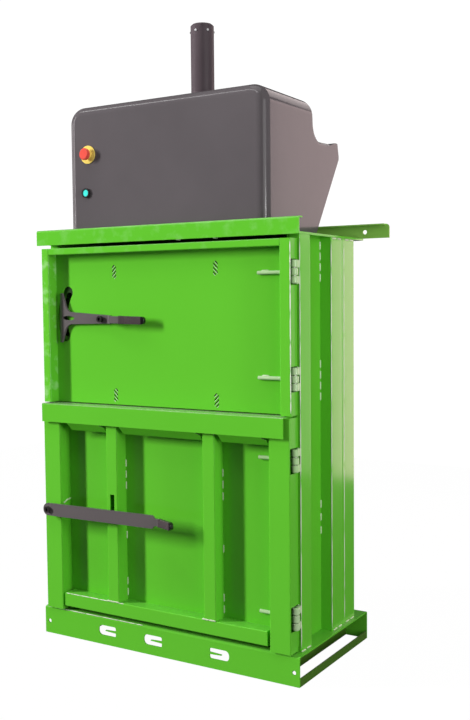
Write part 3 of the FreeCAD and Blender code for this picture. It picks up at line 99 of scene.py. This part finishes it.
for a, b in ((where.outputs["Object"], cloud.inputs["Vector"]),
             (where.outputs["Object"], peel.inputs["Vector"]),
             (where.outputs["Object"], speck.inputs["Vector"]),
             (cloud.outputs["Fac"], fade.inputs["Factor"]),
             (given.outputs["Coat"], fade.inputs["A"]),
             (given.outputs["Faded"], fade.inputs["B"]),
             (facing.outputs["Normal"], split.inputs["Vector"]),
             (split.outputs["Z"], facing_up_speck.inputs[0]),
             (speck.outputs["Fac"], facing_up_speck.inputs[1]),
             (facing_up_speck.outputs["Value"], lying_dust_and_sheen.inputs[0]),
             (given.outputs["Dust and sheen"], lying_dust_and_sheen.inputs[1]),
             (lying_dust_and_sheen.outputs["Value"], dust_and_sheen_mix.inputs["Factor"]),
             (fade.outputs["Result"], dust_and_sheen_mix.inputs["A"]),
             (cloud.outputs["Fac"], spread.inputs[0]),
             (given.outputs["Gloss spread"], spread.inputs[1]),
             (given.outputs["Gloss"], spread.inputs[2]),
             (where.outputs["Object"], touch.inputs["Vector"]),
             (touch.outputs["Fac"], touched.inputs["Value"]),
             (touched.outputs["Result"], scuffed.inputs[0]),
             (given.outputs["Scuffs"], scuffed.inputs[1]),
             (scuffed.outputs["Value"], rubbed.inputs["Factor"]),
             (dust_and_sheen_mix.outputs["Result"], rubbed.inputs["A"]),
             (rubbed.outputs["Result"], result.inputs["Color"]),
             (spread.outputs["Value"], result.inputs["Roughness"]),
             (peel.outputs["Fac"], result.inputs["Peel"])):
    powder.links.new(a, b)


def powder_coat(name, coat, faded, gloss, peel_depth, dust_and_sheen, scuffs=0.0):
    """Steel under baked powder: its colour, the colour it fades to, roughness, peel, dust and scuffs. Set
    high, the dust is also a painted highlight on upward faces.
    """
    material = bpy.data.materials.new(name)
    material.use_nodes = True
    tree = material.node_tree
    shader = tree.nodes["Principled BSDF"]
    finish = tree.nodes.new("ShaderNodeGroup")
    finish.node_tree = powder
    finish.inputs["Coat"].default_value = (*coat, 1)
    finish.inputs["Faded"].default_value = (*faded, 1)
    finish.inputs["Dust and sheen"].default_value = dust_and_sheen
    finish.inputs["Gloss"].default_value = gloss
    finish.inputs["Scuffs"].default_value = scuffs
    relief = tree.nodes.new("ShaderNodeBump")
    relief.inputs["Strength"].default_value = 0.35
    relief.inputs["Distance"].default_value = peel_depth
    shader.inputs["Specular IOR Level"].default_value = 0.35
    tree.links.new(finish.outputs["Color"], shader.inputs["Base Color"])
    tree.links.new(finish.outputs["Roughness"], shader.inputs["Roughness"])
    tree.links.new(finish.outputs["Peel"], relief.inputs["Height"])
    tree.links.new(relief.outputs["Normal"], shader.inputs["Normal"])
    return material


def finish_with(material, *names):
    """Gives the CAD's pieces of these names their material."""
    for name in names:
        nodes[name].data.materials.clear()
        nodes[name].data.materials.append(material)


green = powder_coat("green_powder", (0.113, 0.508, 0.026), (0.125, 0.536, 0.033), 0.10, 0.00012, 0.10)
finish_with(green, "base_front_plate", "base_rear_plate", "chamber_floor",
            "post_left", "post_right", "side_sheet_left", "side_sheet_right", "side_ribs_left",
            "side_ribs_right", "rear_wall", "rear_ribs", "roof_plate", "platen", "platen_ribs")
finish_with(powder_coat("header_powder", (0.110, 0.508, 0.025), (0.122, 0.536, 0.032), 0.10, 0.00012,
                        0.5, 0.14), "front_header", "loading_door_rails")
# The rear bar's paler, greyer green is painted light: it stands in for the light and pale reflection on the
# bar behind the hood.
finish_with(powder_coat("painted_sheen_bar_powder", (0.25, 0.56, 0.085), (0.31, 0.60, 0.12), 0.16, 0.00012, 0.3),
            "rear_header")
# The base rails' darker green is painted shade near the floor.
finish_with(powder_coat("painted_shade_rail_powder", (0.034, 0.105, 0.004), (0.058, 0.17, 0.008), 0.62, 0.0002, 0.15),
            "base_rails")

# ---- doors -------------------------------------------------------------------------------------
# The loading door above and the bale door below: sheet panels in folded stiles and rails.
# Same steel and the same green powder as the box, coated on the bench before they were hung.
finish_with(green, "loading_door_panel", "loading_door_stile_right", "bale_door_panel",
            "bale_door_stile_left", "bale_door_stile_right", "bale_door_stiffeners",
            "bale_door_bottom_rail")
# The hinges' paler powder is partly rubbed wear, partly a painted highlight for the light on the rods and
# barrels.
finish_with(powder_coat("green_powder_rubbed_and_sheen", (0.26, 0.56, 0.14), (0.62, 0.74, 0.52), 0.12, 0.00012, 0.3),
            "loading_door_hinge_halves", "bale_door_hinge_halves", "hinge_body_halves")
finish_with(powder_coat("green_powder_handled", (0.112, 0.525, 0.026), (0.135, 0.555, 0.036), 0.10, 0.00012,
                        0.3, 0.55), "loading_door_stile_left")
# The bale door's top rail takes heavy pale on its upward faces: partly dust on the ledge, partly a painted
# highlight for the light on its top.
finish_with(powder_coat("green_powder_dust_and_sheen", (0.113, 0.508, 0.026), (0.125, 0.536, 0.033), 0.10, 0.00012,
                        1.1), "bale_door_top_rail")

# ---- weld beads --------------------------------------------------------------------------------
# Short stitch welds that hold the channels to the sheets, the stiffeners to the bale door's panel
# and the hinge leaves to the posts: mild steel in overlapping drops, coated green with the rest; their paler
# green is a painted glint.
def ringed_bar(radius, length, rings, waists, tip):
    """A round bar along Z. A waist is its first ring, the step to the next and the share of the width."""
    bpy.ops.object.select_all(action="DESELECT")
    bpy.ops.mesh.primitive_cylinder_add(vertices=8, radius=radius, depth=length)
    bar = bpy.context.object
    bpy.ops.object.mode_set(mode="EDIT")
    shape = bmesh.from_edit_mesh(bar.data)
    for edge in shape.edges:
        edge.select = abs(edge.verts[0].co.z - edge.verts[1].co.z) > length / 2
    bpy.ops.mesh.subdivide(number_cuts=rings)
    shape = bmesh.from_edit_mesh(bar.data)
    heights = sorted({round(vertex.co.z, 5) for vertex in shape.verts})
    narrowings = [(heights[first::step], share) for first, step, share in waists]
    for picked, share in narrowings + [((heights[0], heights[-1]), tip)]:
        for vertex in shape.verts:
            vertex.select = round(vertex.co.z, 5) in picked
        shape.select_flush(True)
        bmesh.update_edit_mesh(bar.data)
        bpy.ops.transform.resize(value=(share, share, 1), center_override=(0, 0, 0))
    bpy.ops.object.mode_set(mode="OBJECT")
    return bar


def fix_along(name, body, bar, coat, places):
    """Copies of one bar as a single piece. A place is a middle point, a direction and a size."""
    bpy.ops.object.select_all(action="DESELECT")
    copies = []
    for middle, direction, size in places:
        copy = bar.copy()
        copy.data = bar.data.copy()
        bpy.context.scene.collection.objects.link(copy)
        copy.location = middle
        copy.rotation_mode = "QUATERNION"
        copy.rotation_quaternion = direction.to_track_quat("Z", "Y")
        copy.scale = size
        copy.select_set(True)
        copies.append(copy)
    piece = copies[0]
    bpy.context.view_layer.objects.active = piece
    if len(copies) > 1:
        bpy.ops.object.join()
    bpy.ops.object.transform_apply(location=True, rotation=True, scale=True)
    piece.name = name
    piece.data.materials.append(coat)
    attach(piece, body)


# The beads' pale green is a painted glint.
weld_glint_coat = powder_coat("weld_glint_coat_powder", (0.42, 0.62, 0.28), (0.72, 0.78, 0.62), 0.12, 0.0006, 0.25)
stitch = ringed_bar(0.0030, 0.024, 8, ((1, 2, 0.74),), 0.45)
bpy.ops.object.shade_smooth_by_angle(angle=math.radians(50))


def lay_welds(name, body, seams):
    """Stitches along straight seams, each seam given by its two ends and a number of stitches."""
    places = []
    for start, end, count in seams:
        start, end = Vector(start), Vector(end)
        for i in range(count):
            places.append((start.lerp(end, (i + 0.5) / count), end - start, (1, 1, 1)))
    fix_along(name, body, stitch, weld_glint_coat, places)


# Each channel's front and back seams, in reaches below the roof, and its two ends.
front_reaches = ((0.135, 0.008, 4), (0.49, 0.36, 4), (0.90, 0.78, 3))
back_reaches = ((0.20, 0.04, 4), (0.95, 0.75, 4))
channel_webs = ((0.004, 0.071), (0.092, 0.158))
for side, name in ((-1, "left"), (1, "right")):
    low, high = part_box("side_ribs_" + name)
    sheet_low, sheet_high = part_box("side_sheet_" + name)
    sheet_x = sheet_high[0] if side > 0 else sheet_low[0]
    web_x = high[0] if side > 0 else low[0]
    front, back, roof = low[1], high[1], high[2]
    seams = []
    for y, reaches in ((front, front_reaches), (back, back_reaches)):
        for deep, near, count in reaches:
            seams.append(((sheet_x, y, roof - deep), (sheet_x, y, roof - near), count))
    for z in (roof - 0.003, low[2]):
        for start, end in channel_webs:
            seams.append(((web_x, front + start, z), (web_x, front + end, z), 2))
    lay_welds("side_welds_" + name, "machine", seams)

# The stiffeners' long seams, in heights above the floor, and their feet on the bottom rail.
stiffener_width = 0.042
stiffener_reaches = ((0.495, 0.60, 3), (0.335, 0.375, 1), (0.155, 0.225, 2))
low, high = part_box("bale_door_stiffeners")
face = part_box("bale_door_panel")[0][1]
foot_y = low[1] + 0.001
foot_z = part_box("bale_door_bottom_rail")[1][2] + 0.001
seams = []
for edge in (low[0], low[0] + stiffener_width, high[0] - stiffener_width, high[0]):
    for bottom, top, count in stiffener_reaches:
        seams.append(((edge, face, bottom), (edge, face, top), count))
for left in (low[0], high[0] - stiffener_width):
    seams.append(((left - 0.006, foot_y, foot_z), (left + stiffener_width - 0.002, foot_y, foot_z), 2))
lay_welds("bale_door_welds", "bale_door", seams)

# One stitch on the upper edge of each hinge strap of the loading door.
strap_middle = 0.0105
strap_edge = 0.0055
low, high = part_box("loading_door_hinge_halves")
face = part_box("loading_door_panel")[0][1]
left = low[0] + 0.002
right = low[0] + 0.040
lay_welds("loading_hinge_welds", "loading_door", [
    ((left, face, level + strap_edge), (right, face, level + strap_edge), 1)
    for level in (low[2] + strap_middle, high[2] - strap_middle)])

# Two stitches beside each hinge, on its outer barrels, and two at the foot of each post.
hinge_heights = (0.190, 0.640, 0.869, 1.168)
barrel_spread = 0.0225
half_barrel = 0.011
half_foot_seam = 0.015
low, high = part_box("post_right")
leaf_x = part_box("hinge_body_halves")[0][0] + 0.007
seams = []
for level in hinge_heights:
    for middle in (level - barrel_spread, level + barrel_spread):
        seams.append(((leaf_x, low[1], middle - half_barrel), (leaf_x, low[1], middle + half_barrel), 1))
for x in (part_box("post_left")[0][0], high[0]):
    for y in (low[1] + 0.012, low[1] + 0.045):
        seams.append(((x, y - half_foot_seam, low[2]), (x, y + half_foot_seam, low[2]), 1))
lay_welds("post_welds", "machine", seams)

# Two stitches across the header's underside, and a bent one on the bale door's left stile.
header_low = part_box("front_header")[0]
front_plane = header_low[1]
lay_welds("header_welds", "machine", [
    ((x, front_plane + 0.003, header_low[2]), (x, front_plane + 0.025, header_low[2]), 1)
    for x in (0.068, 0.198)])
low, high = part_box("bale_door_stile_left")
bend = (high[0], low[1] + 0.0275, 0.4465)
lay_welds("stile_weld", "bale_door", [((high[0], low[1] + 0.0145, 0.4404), bend, 1),
                                      (bend, (high[0], low[1] + 0.0420, 0.4485), 1)])
bpy.data.objects.remove(stitch)

# ---- painted fold highlights -------------------------------------------------------------------
# Painted highlights on long folds: pale strips where each fold's rounded outside catches the light.
# Each is a narrow strip that follows the fold's rounded outside.
fold_highlight_coat = powder_coat("fold_highlight_paint", (0.70, 0.74, 0.60), (0.84, 0.84, 0.74), 0.16, 0.0002, 0.1)
strip = ringed_bar(1, 1, 40, ((3, 7, 0.35), (5, 6, 0.6)), 0.2)
inset = 0.0006


def lay_fold_highlights(name, body, radius, folds):
    """Painted highlights: pale strips on folds, each fold given by its two ends."""
    places = []
    for start, end in folds:
        start, end = Vector(start), Vector(end)
        places.append(((start + end) / 2, end - start, (radius, radius, (end - start).length)))
    fix_along(name, body, strip, fold_highlight_coat, places)
    bpy.ops.object.shade_smooth_by_angle(angle=math.radians(60))


# The right post's front corner, and the two front folds of the right channels.
post_low, post_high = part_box("post_right")
rib_low, rib_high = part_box("side_ribs_right")
corner = (post_high[0] - inset, post_low[1] + inset)
channel_inset = 0.0004
channel_fold = 0.0885
highlight_end_gap = 0.010
folds = [((*corner, post_low[2] + highlight_end_gap), (*corner, post_high[2] - highlight_end_gap))]
for y in (rib_low[1] + channel_inset, rib_low[1] + channel_fold):
    web = (rib_high[0] - channel_inset, y)
    folds.append(((*web, rib_low[2] + highlight_end_gap), (*web, rib_high[2] - highlight_end_gap)))
lay_fold_highlights("fold_highlights_frame", "machine", 0.0016, folds)

# The base plate's top edge, the loading door's right edge and the bale door's lowest rail.
low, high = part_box("base_front_plate")
lay_fold_highlights("fold_highlight_base", "machine", 0.0014, [
    ((low[0] + 0.006, low[1] + inset, high[2] - inset), (low[0] + 0.40, low[1] + inset, high[2] - inset))])
low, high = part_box("loading_door_stile_right")
lay_fold_highlights("fold_highlight_loading_door", "loading_door", 0.0016, [
    ((high[0] - inset, low[1] + inset, low[2] + 0.008), (high[0] - inset, low[1] + inset, high[2] - 0.008))])
low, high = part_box("bale_door_bottom_rail")
lay_fold_highlights("fold_highlight_bale_door", "bale_door", 0.0014, [
    ((low[0] + 0.005, low[1] + inset, high[2] - inset), (low[0] + 0.24, low[1] + inset, high[2] - inset))])
bpy.data.objects.remove(strip)

# ---- vents -------------------------------------------------------------------------------------
# The raised lips that the press tool left along the slits of the loading door's vents, pale as a painted
# highlight, and a black fill inside the slits that is painted shade.
vents = ((-0.192, 1.184, 1), (0.183, 1.186, -1), (-0.192, 0.797, -1), (0.183, 0.797, 1))
slit_pitch = 0.0128
slit_half_width = 0.008
stroke = ringed_bar(1, 1, 3, (), 0.35)


def fill_vents(name, radius, drop, sink, coat):
    """A stroke for each slit, lower than its middle by drop and behind the door's face by sink."""
    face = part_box("loading_door_panel")[0][1]
    places = []
    for x, z, lean in vents:
        for step in (-1.5, -0.5, 0.5, 1.5):
            left, right = x - slit_half_width, x + slit_half_width
            if step < -1:
                left, right = (x, right) if lean > 0 else (left, x)
            if step > 1:
                left, right = (left, x + 0.003) if lean > 0 else (x - 0.003, right)
            middle = (left + right) / 2
            height = z + step * slit_pitch - drop + lean * (middle - x)
            places.append(((middle, face + sink, height), Vector((lean, 0, 1)),
                           (radius, radius, (right - left) * math.sqrt(2))))
    fix_along(name, "loading_door", stroke, coat, places)
    bpy.ops.object.shade_smooth_by_angle(angle=math.radians(60))


fill_vents("vent_highlight_lips", 0.0005, 0.0046, 0,
           powder_coat("vent_lip_highlight_paint", (0.80, 0.84, 0.74), (0.88, 0.90, 0.84), 0.14, 0.0003, 0.1))
fill_vents("vent_shade_fill", 0.0028, 0, 0.0024,
           powder_coat("vent_shade_fill_black", (0.006, 0.005, 0.005), (0.012, 0.010, 0.009), 0.6, 0.0002, 0.02))
bpy.data.objects.remove(stroke)

# ---- levers ------------------------------------------------------------------------------------
# Flat bar levers that lock the two doors, cut from 8 mm plate and bent.
# Mild steel with a dark grey powder coat; plated bolts and pins hold and guide them.
finish_with(powder_coat("lever_grey_powder", (0.108, 0.094, 0.097), (0.130, 0.114, 0.118), 0.28, 0.0003,
                        0.06), "loading_lever", "bale_lever")

plated = bpy.data.materials.new("zinc_plated_steel")
plated.use_nodes = True
tree = plated.node_tree
shader = tree.nodes["Principled BSDF"]
shader.inputs["Metallic"].default_value = 1.0
place = tree.nodes.new("ShaderNodeTexCoord")
bloom = tree.nodes.new("ShaderNodeTexNoise")
bloom.inputs["Scale"].default_value = 90
bloom.inputs["Detail"].default_value = 6
tint = tree.nodes.new("ShaderNodeValToRGB")
tint.color_ramp.elements[0].color = (0.36, 0.36, 0.37, 1)
tint.color_ramp.elements[1].color = (0.62, 0.61, 0.57, 1)
rub = tree.nodes.new("ShaderNodeMapRange")
rub.inputs["To Min"].default_value = 0.24
rub.inputs["To Max"].default_value = 0.46
tree.links.new(place.outputs["Object"], bloom.inputs["Vector"])
tree.links.new(bloom.outputs["Fac"], tint.inputs["Fac"])
tree.links.new(tint.outputs["Color"], shader.inputs["Base Color"])
tree.links.new(bloom.outputs["Fac"], rub.inputs["Value"])
tree.links.new(rub.outputs["Result"], shader.inputs["Roughness"])
finish_with(powder_coat("black_oxide", (0.022, 0.020, 0.020), (0.035, 0.030, 0.028), 0.30, 0.0002, 0.05),
            "loading_pivot_bolt", "bale_latch_shaft")
finish_with(plated, "loading_keeper", "loading_catch_pin", "bale_keeper", "hinge_pins", "cylinder_bolts",
            "cap_end_pipe", "cylinder_gland", "ram_piston", "valve_block", "ram_rod")

# ---- hood and cover tube -----------------------------------------------------------------------
# One moulded shell over the pump and the cylinder, with large soft corners and a shelf behind, of
# dark grey plastic with an uneven high gloss, and the browner satin tube over the cylinder's end.
def grey_shell(name, deep, pale, rough, shine):
    """A grey skin that drifts slowly between a deep and a pale tone, over a very fine grain."""
    material = bpy.data.materials.new(name)
    material.use_nodes = True
    tree = material.node_tree
    shader = tree.nodes["Principled BSDF"]
    shader.inputs["Specular IOR Level"].default_value = shine
    place = tree.nodes.new("ShaderNodeTexCoord")
    streak = tree.nodes.new("ShaderNodeTexNoise")
    streak.inputs["Scale"].default_value = 3.5
    streak.inputs["Detail"].default_value = 3
    shade = tree.nodes.new("ShaderNodeValToRGB")
    shade.color_ramp.elements[0].position = 0.3
    shade.color_ramp.elements[0].color = (*deep, 1)
    shade.color_ramp.elements[1].position = 0.7
    shade.color_ramp.elements[1].color = (*pale, 1)
    grain = tree.nodes.new("ShaderNodeTexNoise")
    grain.inputs["Scale"].default_value = 700
    relief = tree.nodes.new("ShaderNodeBump")
    relief.inputs["Strength"].default_value = 0.12
    relief.inputs["Distance"].default_value = 0.0002
    gloss = tree.nodes.new("ShaderNodeMapRange")
    gloss.inputs["To Min"].default_value = rough
    gloss.inputs["To Max"].default_value = rough + 0.05
    tree.links.new(place.outputs["Object"], streak.inputs["Vector"])
    tree.links.new(place.outputs["Object"], grain.inputs["Vector"])
    tree.links.new(streak.outputs["Fac"], shade.inputs["Fac"])
    tree.links.new(shade.outputs["Color"], shader.inputs["Base Color"])
    tree.links.new(streak.outputs["Fac"], gloss.inputs["Value"])
    tree.links.new(gloss.outputs["Result"], shader.inputs["Roughness"])
    tree.links.new(grain.outputs["Fac"], relief.inputs["Height"])
    tree.links.new(relief.outputs["Normal"], shader.inputs["Normal"])
    return material


finish_with(grey_shell("hood_gloss_grey", (0.098, 0.087, 0.093), (0.114, 0.101, 0.108), 0.10, 0.30), "hood")
finish_with(grey_shell("tube_satin_grey", (0.082, 0.063, 0.072), (0.096, 0.074, 0.084), 0.40, 0.22),
            "cover_tube", "cover_cap")

# ---- grips and rubber --------------------------------------------------------------------------
# Sleeves on the levers, hoses and the small black mouldings.
# Black vinyl and rubber, matt, with a fine grain.
def moulded(name, color, rough, grain_depth, tip=None):
    """Moulded plastic or rubber with a fine grain. Past the X of a tip, where given, it is black."""
    material = bpy.data.materials.new(name)
    material.use_nodes = True
    tree = material.node_tree
    shader = tree.nodes["Principled BSDF"]
    place = tree.nodes.new("ShaderNodeTexCoord")
    grain = tree.nodes.new("ShaderNodeTexNoise")
    grain.inputs["Scale"].default_value = 650
    grain.inputs["Detail"].default_value = 3
    worn = tree.nodes.new("ShaderNodeTexNoise")
    worn.inputs["Scale"].default_value = 28
    tone = tree.nodes.new("ShaderNodeMix")
    tone.data_type = "RGBA"
    tone.inputs["A"].default_value = (*[c * 0.85 for c in color], 1)
    tone.inputs["B"].default_value = (*[min(1, c * 1.15) for c in color], 1)
    relief = tree.nodes.new("ShaderNodeBump")
    relief.inputs["Strength"].default_value = 0.4
    relief.inputs["Distance"].default_value = grain_depth
    sheen = tree.nodes.new("ShaderNodeMapRange")
    sheen.inputs["To Min"].default_value = rough - 0.06
    sheen.inputs["To Max"].default_value = rough + 0.06
    tree.links.new(place.outputs["Object"], grain.inputs["Vector"])
    tree.links.new(place.outputs["Object"], worn.inputs["Vector"])
    tree.links.new(worn.outputs["Fac"], tone.inputs["Factor"])
    tree.links.new(worn.outputs["Fac"], sheen.inputs["Value"])
    if tip is None:
        tree.links.new(tone.outputs["Result"], shader.inputs["Base Color"])
    else:
        along = tree.nodes.new("ShaderNodeSeparateXYZ")
        end = tree.nodes.new("ShaderNodeMapRange")
        end.inputs["From Min"].default_value = tip
        end.inputs["From Max"].default_value = tip + 0.003
        dark = tree.nodes.new("ShaderNodeMix")
        dark.data_type = "RGBA"
        dark.inputs["B"].default_value = (0.008, 0.007, 0.008, 1)
        tree.links.new(place.outputs["Object"], along.inputs["Vector"])
        tree.links.new(along.outputs["X"], end.inputs["Value"])
        tree.links.new(end.outputs["Result"], dark.inputs["Factor"])
        tree.links.new(tone.outputs["Result"], dark.inputs["A"])
        tree.links.new(dark.outputs["Result"], shader.inputs["Base Color"])
    tree.links.new(sheen.outputs["Result"], shader.inputs["Roughness"])
    tree.links.new(grain.outputs["Fac"], relief.inputs["Height"])
    tree.links.new(relief.outputs["Normal"], shader.inputs["Normal"])
    return material


vinyl = moulded("black_moulding", (0.014, 0.014, 0.015), 0.34, 0.00015)
finish_with(vinyl, "hoses", "start_button_bezel", "control_box")


def dipped_grip(name, node, length, thick, high, turn, tilt, body):
    """A sleeve of vinyl dipped over the lever's end, thicker round its open end."""
    low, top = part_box(node)
    centre = (Vector(low) + Vector(top)) / 2
    bpy.ops.object.select_all(action="DESELECT")
    bpy.ops.mesh.primitive_cube_add(size=1, location=centre)
    grip = bpy.context.object
    grip.name = name
    bpy.ops.transform.resize(value=(length, thick, high))
    bpy.ops.object.transform_apply(location=True, rotation=False, scale=True)
    bpy.ops.object.mode_set(mode="EDIT")
    shape = bmesh.from_edit_mesh(grip.data)
    for edge in shape.edges:
        ends = [vertex.co for vertex in edge.verts]
        edge.select = min(end.x for end in ends) > centre.x and abs(ends[0].z - ends[1].z) < 1e-5
        edge.select = edge.select and abs(ends[0].y - ends[1].y) > 1e-4
    bpy.ops.mesh.bevel(offset=high * 0.42, segments=8)
    bpy.ops.mesh.select_all(action="SELECT")
    bpy.ops.mesh.bevel(offset=thick * 0.3, segments=4, affect="EDGES", offset_type="OFFSET",
                       clamp_overlap=True)
    mouth = centre.x - length / 2
    rim = 0.006
    for distance in (rim - 0.0005, rim + 0.0006):
        bpy.ops.mesh.select_all(action="SELECT")
        bpy.ops.mesh.bisect(plane_co=(mouth + distance, centre.y, centre.z), plane_no=(1, 0, 0))
    shape = bmesh.from_edit_mesh(grip.data)
    for face in shape.faces:
        face.select = False
    for vertex in shape.verts:
        vertex.select = vertex.co.x > mouth + rim
    shape.select_flush(True)
    bmesh.update_edit_mesh(grip.data)
    bpy.ops.transform.resize(value=(1, 0.93, 0.95), center_override=centre)
    bpy.ops.mesh.select_all(action="SELECT")
    bpy.ops.mesh.normals_make_consistent(inside=False)
    bpy.ops.transform.rotate(value=turn, orient_axis="Z", center_override=centre)
    bpy.ops.transform.rotate(value=tilt, orient_axis="Y", center_override=centre)
    bpy.ops.object.mode_set(mode="OBJECT")
    bpy.ops.object.shade_smooth_by_angle(angle=math.radians(40))
    bpy.ops.object.transform_apply(location=True, rotation=True, scale=True)
    black_from = top[0] - 0.014
    grip.data.materials.append(moulded(name + "_vinyl", (0.072, 0.056, 0.060), 0.26, 0.00015, black_from))
    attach(grip, body)
    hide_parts(node)


dipped_grip("loading_grip_sleeve", "loading_lever_grip", 0.098, 0.013, 0.0257,
            0, math.radians(-1.3), "loading_latch")
dipped_grip("bale_grip_sleeve", "bale_lever_grip", 0.070, 0.013, 0.025,
            math.radians(22), math.radians(0.5), "bale_latch")

# ---- cover screws ------------------------------------------------------------------------------
# Small pan-head screws round the top of the cylinder's cover, which hold its cap.
# Bright zinc with a clear passivation.
bright = moulded("bright_zinc_screws", (0.86, 0.86, 0.88), 0.24, 0.00005)
bright.node_tree.nodes["Principled BSDF"].inputs["Metallic"].default_value = 0.4
finish_with(bright, "cover_screws")

# ---- buttons -----------------------------------------------------------------------------------
# Mushroom stop button on its yellow plate, and a green start button in a black bezel, its lens with a painted
# glow.
# Injection moulded plastic with a smooth gloss.
finish_with(moulded("stop_red", (0.86, 0.10, 0.075), 0.20, 0.00005), "stop_button_head")
finish_with(moulded("stop_yellow", (0.93, 0.70, 0.16), 0.16, 0.00005), "stop_button_plate")
glowing_lens = moulded("start_lens_painted_glow", (0.04, 0.60, 0.52), 0.12, 0.00005)
shader = glowing_lens.node_tree.nodes["Principled BSDF"]
# The emission on the lens is a painted glow.
shader.inputs["Emission Color"].default_value = (0.10, 0.90, 0.80, 1)
shader.inputs["Emission Strength"].default_value = 0.35
finish_with(glowing_lens, "start_button_lens")

# ---- power unit --------------------------------------------------------------------------------
# Oil tank, motor and cylinder under the hood.
# Painted steel and cast iron, satin grey-black.
machine_grey = powder_coat("machine_grey_paint", (0.10, 0.10, 0.11), (0.13, 0.13, 0.14), 0.38, 0.0003, 0.2)
finish_with(machine_grey, "oil_tank", "tank_lid", "pump_motor", "cylinder_barrel")

# ---- studio ------------------------------------------------------------------------------------
# A pale floor that runs on into a white surround, under soft lamps: not part of the machine.
# The floor takes the machine's shadow and shows white to the camera.
bpy.ops.mesh.primitive_plane_add(size=7, location=(0, 0, 0))
floor = bpy.context.object
floor.name = "studio_floor"
pale = bpy.data.materials.new("studio_floor_white")
pale.use_nodes = True
tree = pale.node_tree
shader = tree.nodes["Principled BSDF"]
shader.inputs["Base Color"].default_value = (0.10, 0.10, 0.10, 1)
shader.inputs["Roughness"].default_value = 0.9
glow = tree.nodes.new("ShaderNodeEmission")
glow.inputs["Strength"].default_value = 1.16
path = tree.nodes.new("ShaderNodeLightPath")
seen_share = tree.nodes.new("ShaderNodeMath")
seen_share.operation = "MULTIPLY"
seen_share.inputs[1].default_value = 0.85
blend = tree.nodes.new("ShaderNodeMixShader")
tree.links.new(path.outputs["Is Camera Ray"], seen_share.inputs[0])
tree.links.new(seen_share.outputs["Value"], blend.inputs["Fac"])
tree.links.new(shader.outputs["BSDF"], blend.inputs[1])
tree.links.new(glow.outputs["Emission"], blend.inputs[2])
tree.links.new(blend.outputs["Shader"], tree.nodes["Material Output"].inputs["Surface"])
floor.data.materials.append(pale)

# The surround is white to the camera and dim to everything else.
world = bpy.data.worlds.new("studio_surround")
bpy.context.scene.world = world
world.use_nodes = True
tree = world.node_tree
backdrop = tree.nodes["Background"]
backdrop.inputs["Color"].default_value = (1, 1, 1, 1)
path = tree.nodes.new("ShaderNodeLightPath")
level = tree.nodes.new("ShaderNodeMix")
level.inputs["A"].default_value = 0.07
level.inputs["B"].default_value = 1.04
tree.links.new(path.outputs["Is Camera Ray"], level.inputs["Factor"])
tree.links.new(level.outputs["Result"], backdrop.inputs["Strength"])

# Lamps and cards: place, aim, width, height, watts and tint. The key lamp and the upper side lamp
# give light but no mirror image, because the gloss of the real machine shows none of them.
for name, place, aim, wide, high, power, tint in (
        ("key_lamp", (-7.6, -4.9, 3.4), (0, 0, 1.0), 0.6, 3.2, 1170, (1, 1, 1)),
        ("roof_card", (0.5, 2.9, 3.4), (0.5, 0, 3.0), 1.8, 0.9, 8, (1, 0.86, 0.85)),
        ("key_sheen", (-7.0, -4.5, 3.2), (0, 0, 1.0), 1.4, 3.2, 80, (1, 0.95, 0.96)),
        ("left_card", (-6.5, -0.7, 1.6), (0, 0.05, 1.2), 1.6, 3.0, 40, (1, 0.92, 0.94)),
        ("side_lamp_low", (7.6, -1.9, 1.15), (0, 0.05, 0.9), 1.0, 2.1, 145, (1, 1, 1)),
        ("side_lamp_high", (7.6, -1.9, 2.75), (0, 0.05, 0.9), 1.0, 1.1, 75, (1, 1, 1)),
        ("back_panel_low", (1.19, 2.78, 0.72), (1.19, 0, 0.72), 1.18, 1.5, 20, (1, 0.68, 0.68)),
        ("back_panel_edge", (1.98, 2.78, 0.72), (1.98, 0, 0.72), 0.24, 1.5, 1.2, (1, 0.88, 0.72)),
        ("back_panel_high", (1.35, 2.78, 2.12), (1.35, 0, 2.12), 1.5, 1.3, 13.5, (1, 0.76, 0.75)),
        ("right_bounce", (1.75, -0.75, 1.25), (0.45, 0.15, 1.1), 0.9, 1.8, 11, (1, 1, 1)),
        ("edge_strip", (-0.6, -1.4, 3.4), (0, 0, 1.0), 3.0, 0.25, 17, (1, 1, 1)),
        ("top_lamp", (0.2, -0.6, 4.6), (0, 0, 1.2), 2.4, 2.4, 26, (1, 1, 1))):
    lamp = bpy.data.lights.new(name, "AREA")
    lamp.shape = "RECTANGLE"
    lamp.size = wide
    lamp.size_y = high
    lamp.energy = power
    lamp.color = tint
    holder = bpy.data.objects.new(name, lamp)
    holder.visible_glossy = name not in ("key_lamp", "side_lamp_high")
    bpy.context.scene.collection.objects.link(holder)
    holder.location = place
    holder.rotation_euler = (Vector(aim) - Vector(place)).to_track_quat("-Z", "Y").to_euler()

# The camera stands where the photo's did: 2.37 m in front of the header and 1.71 m to the right.
# Its lens is in millimetres on a frame 36 mm high.
stand = Vector((1.7145, front_plane - 2.3739, 1.0912))
sight = Vector((-0.51886, 0.85264, -0.06156)).normalized()
right = Vector((0.85452, 0.51934, -0.00919)).normalized()
up = right.cross(sight)
lens = bpy.data.cameras.new("photo_camera")
lens.lens = 48.63
lens.clip_end = 100
camera = bpy.data.objects.new("photo_camera", lens)
bpy.context.scene.collection.objects.link(camera)
camera.matrix_world = Matrix((
    (right.x, up.x, -sight.x, stand.x),
    (right.y, up.y, -sight.y, stand.y),
    (right.z, up.z, -sight.z, stand.z),
    (0, 0, 0, 1)))
bpy.context.scene.camera = camera
bpy.context.scene.view_settings.view_transform = "Standard"
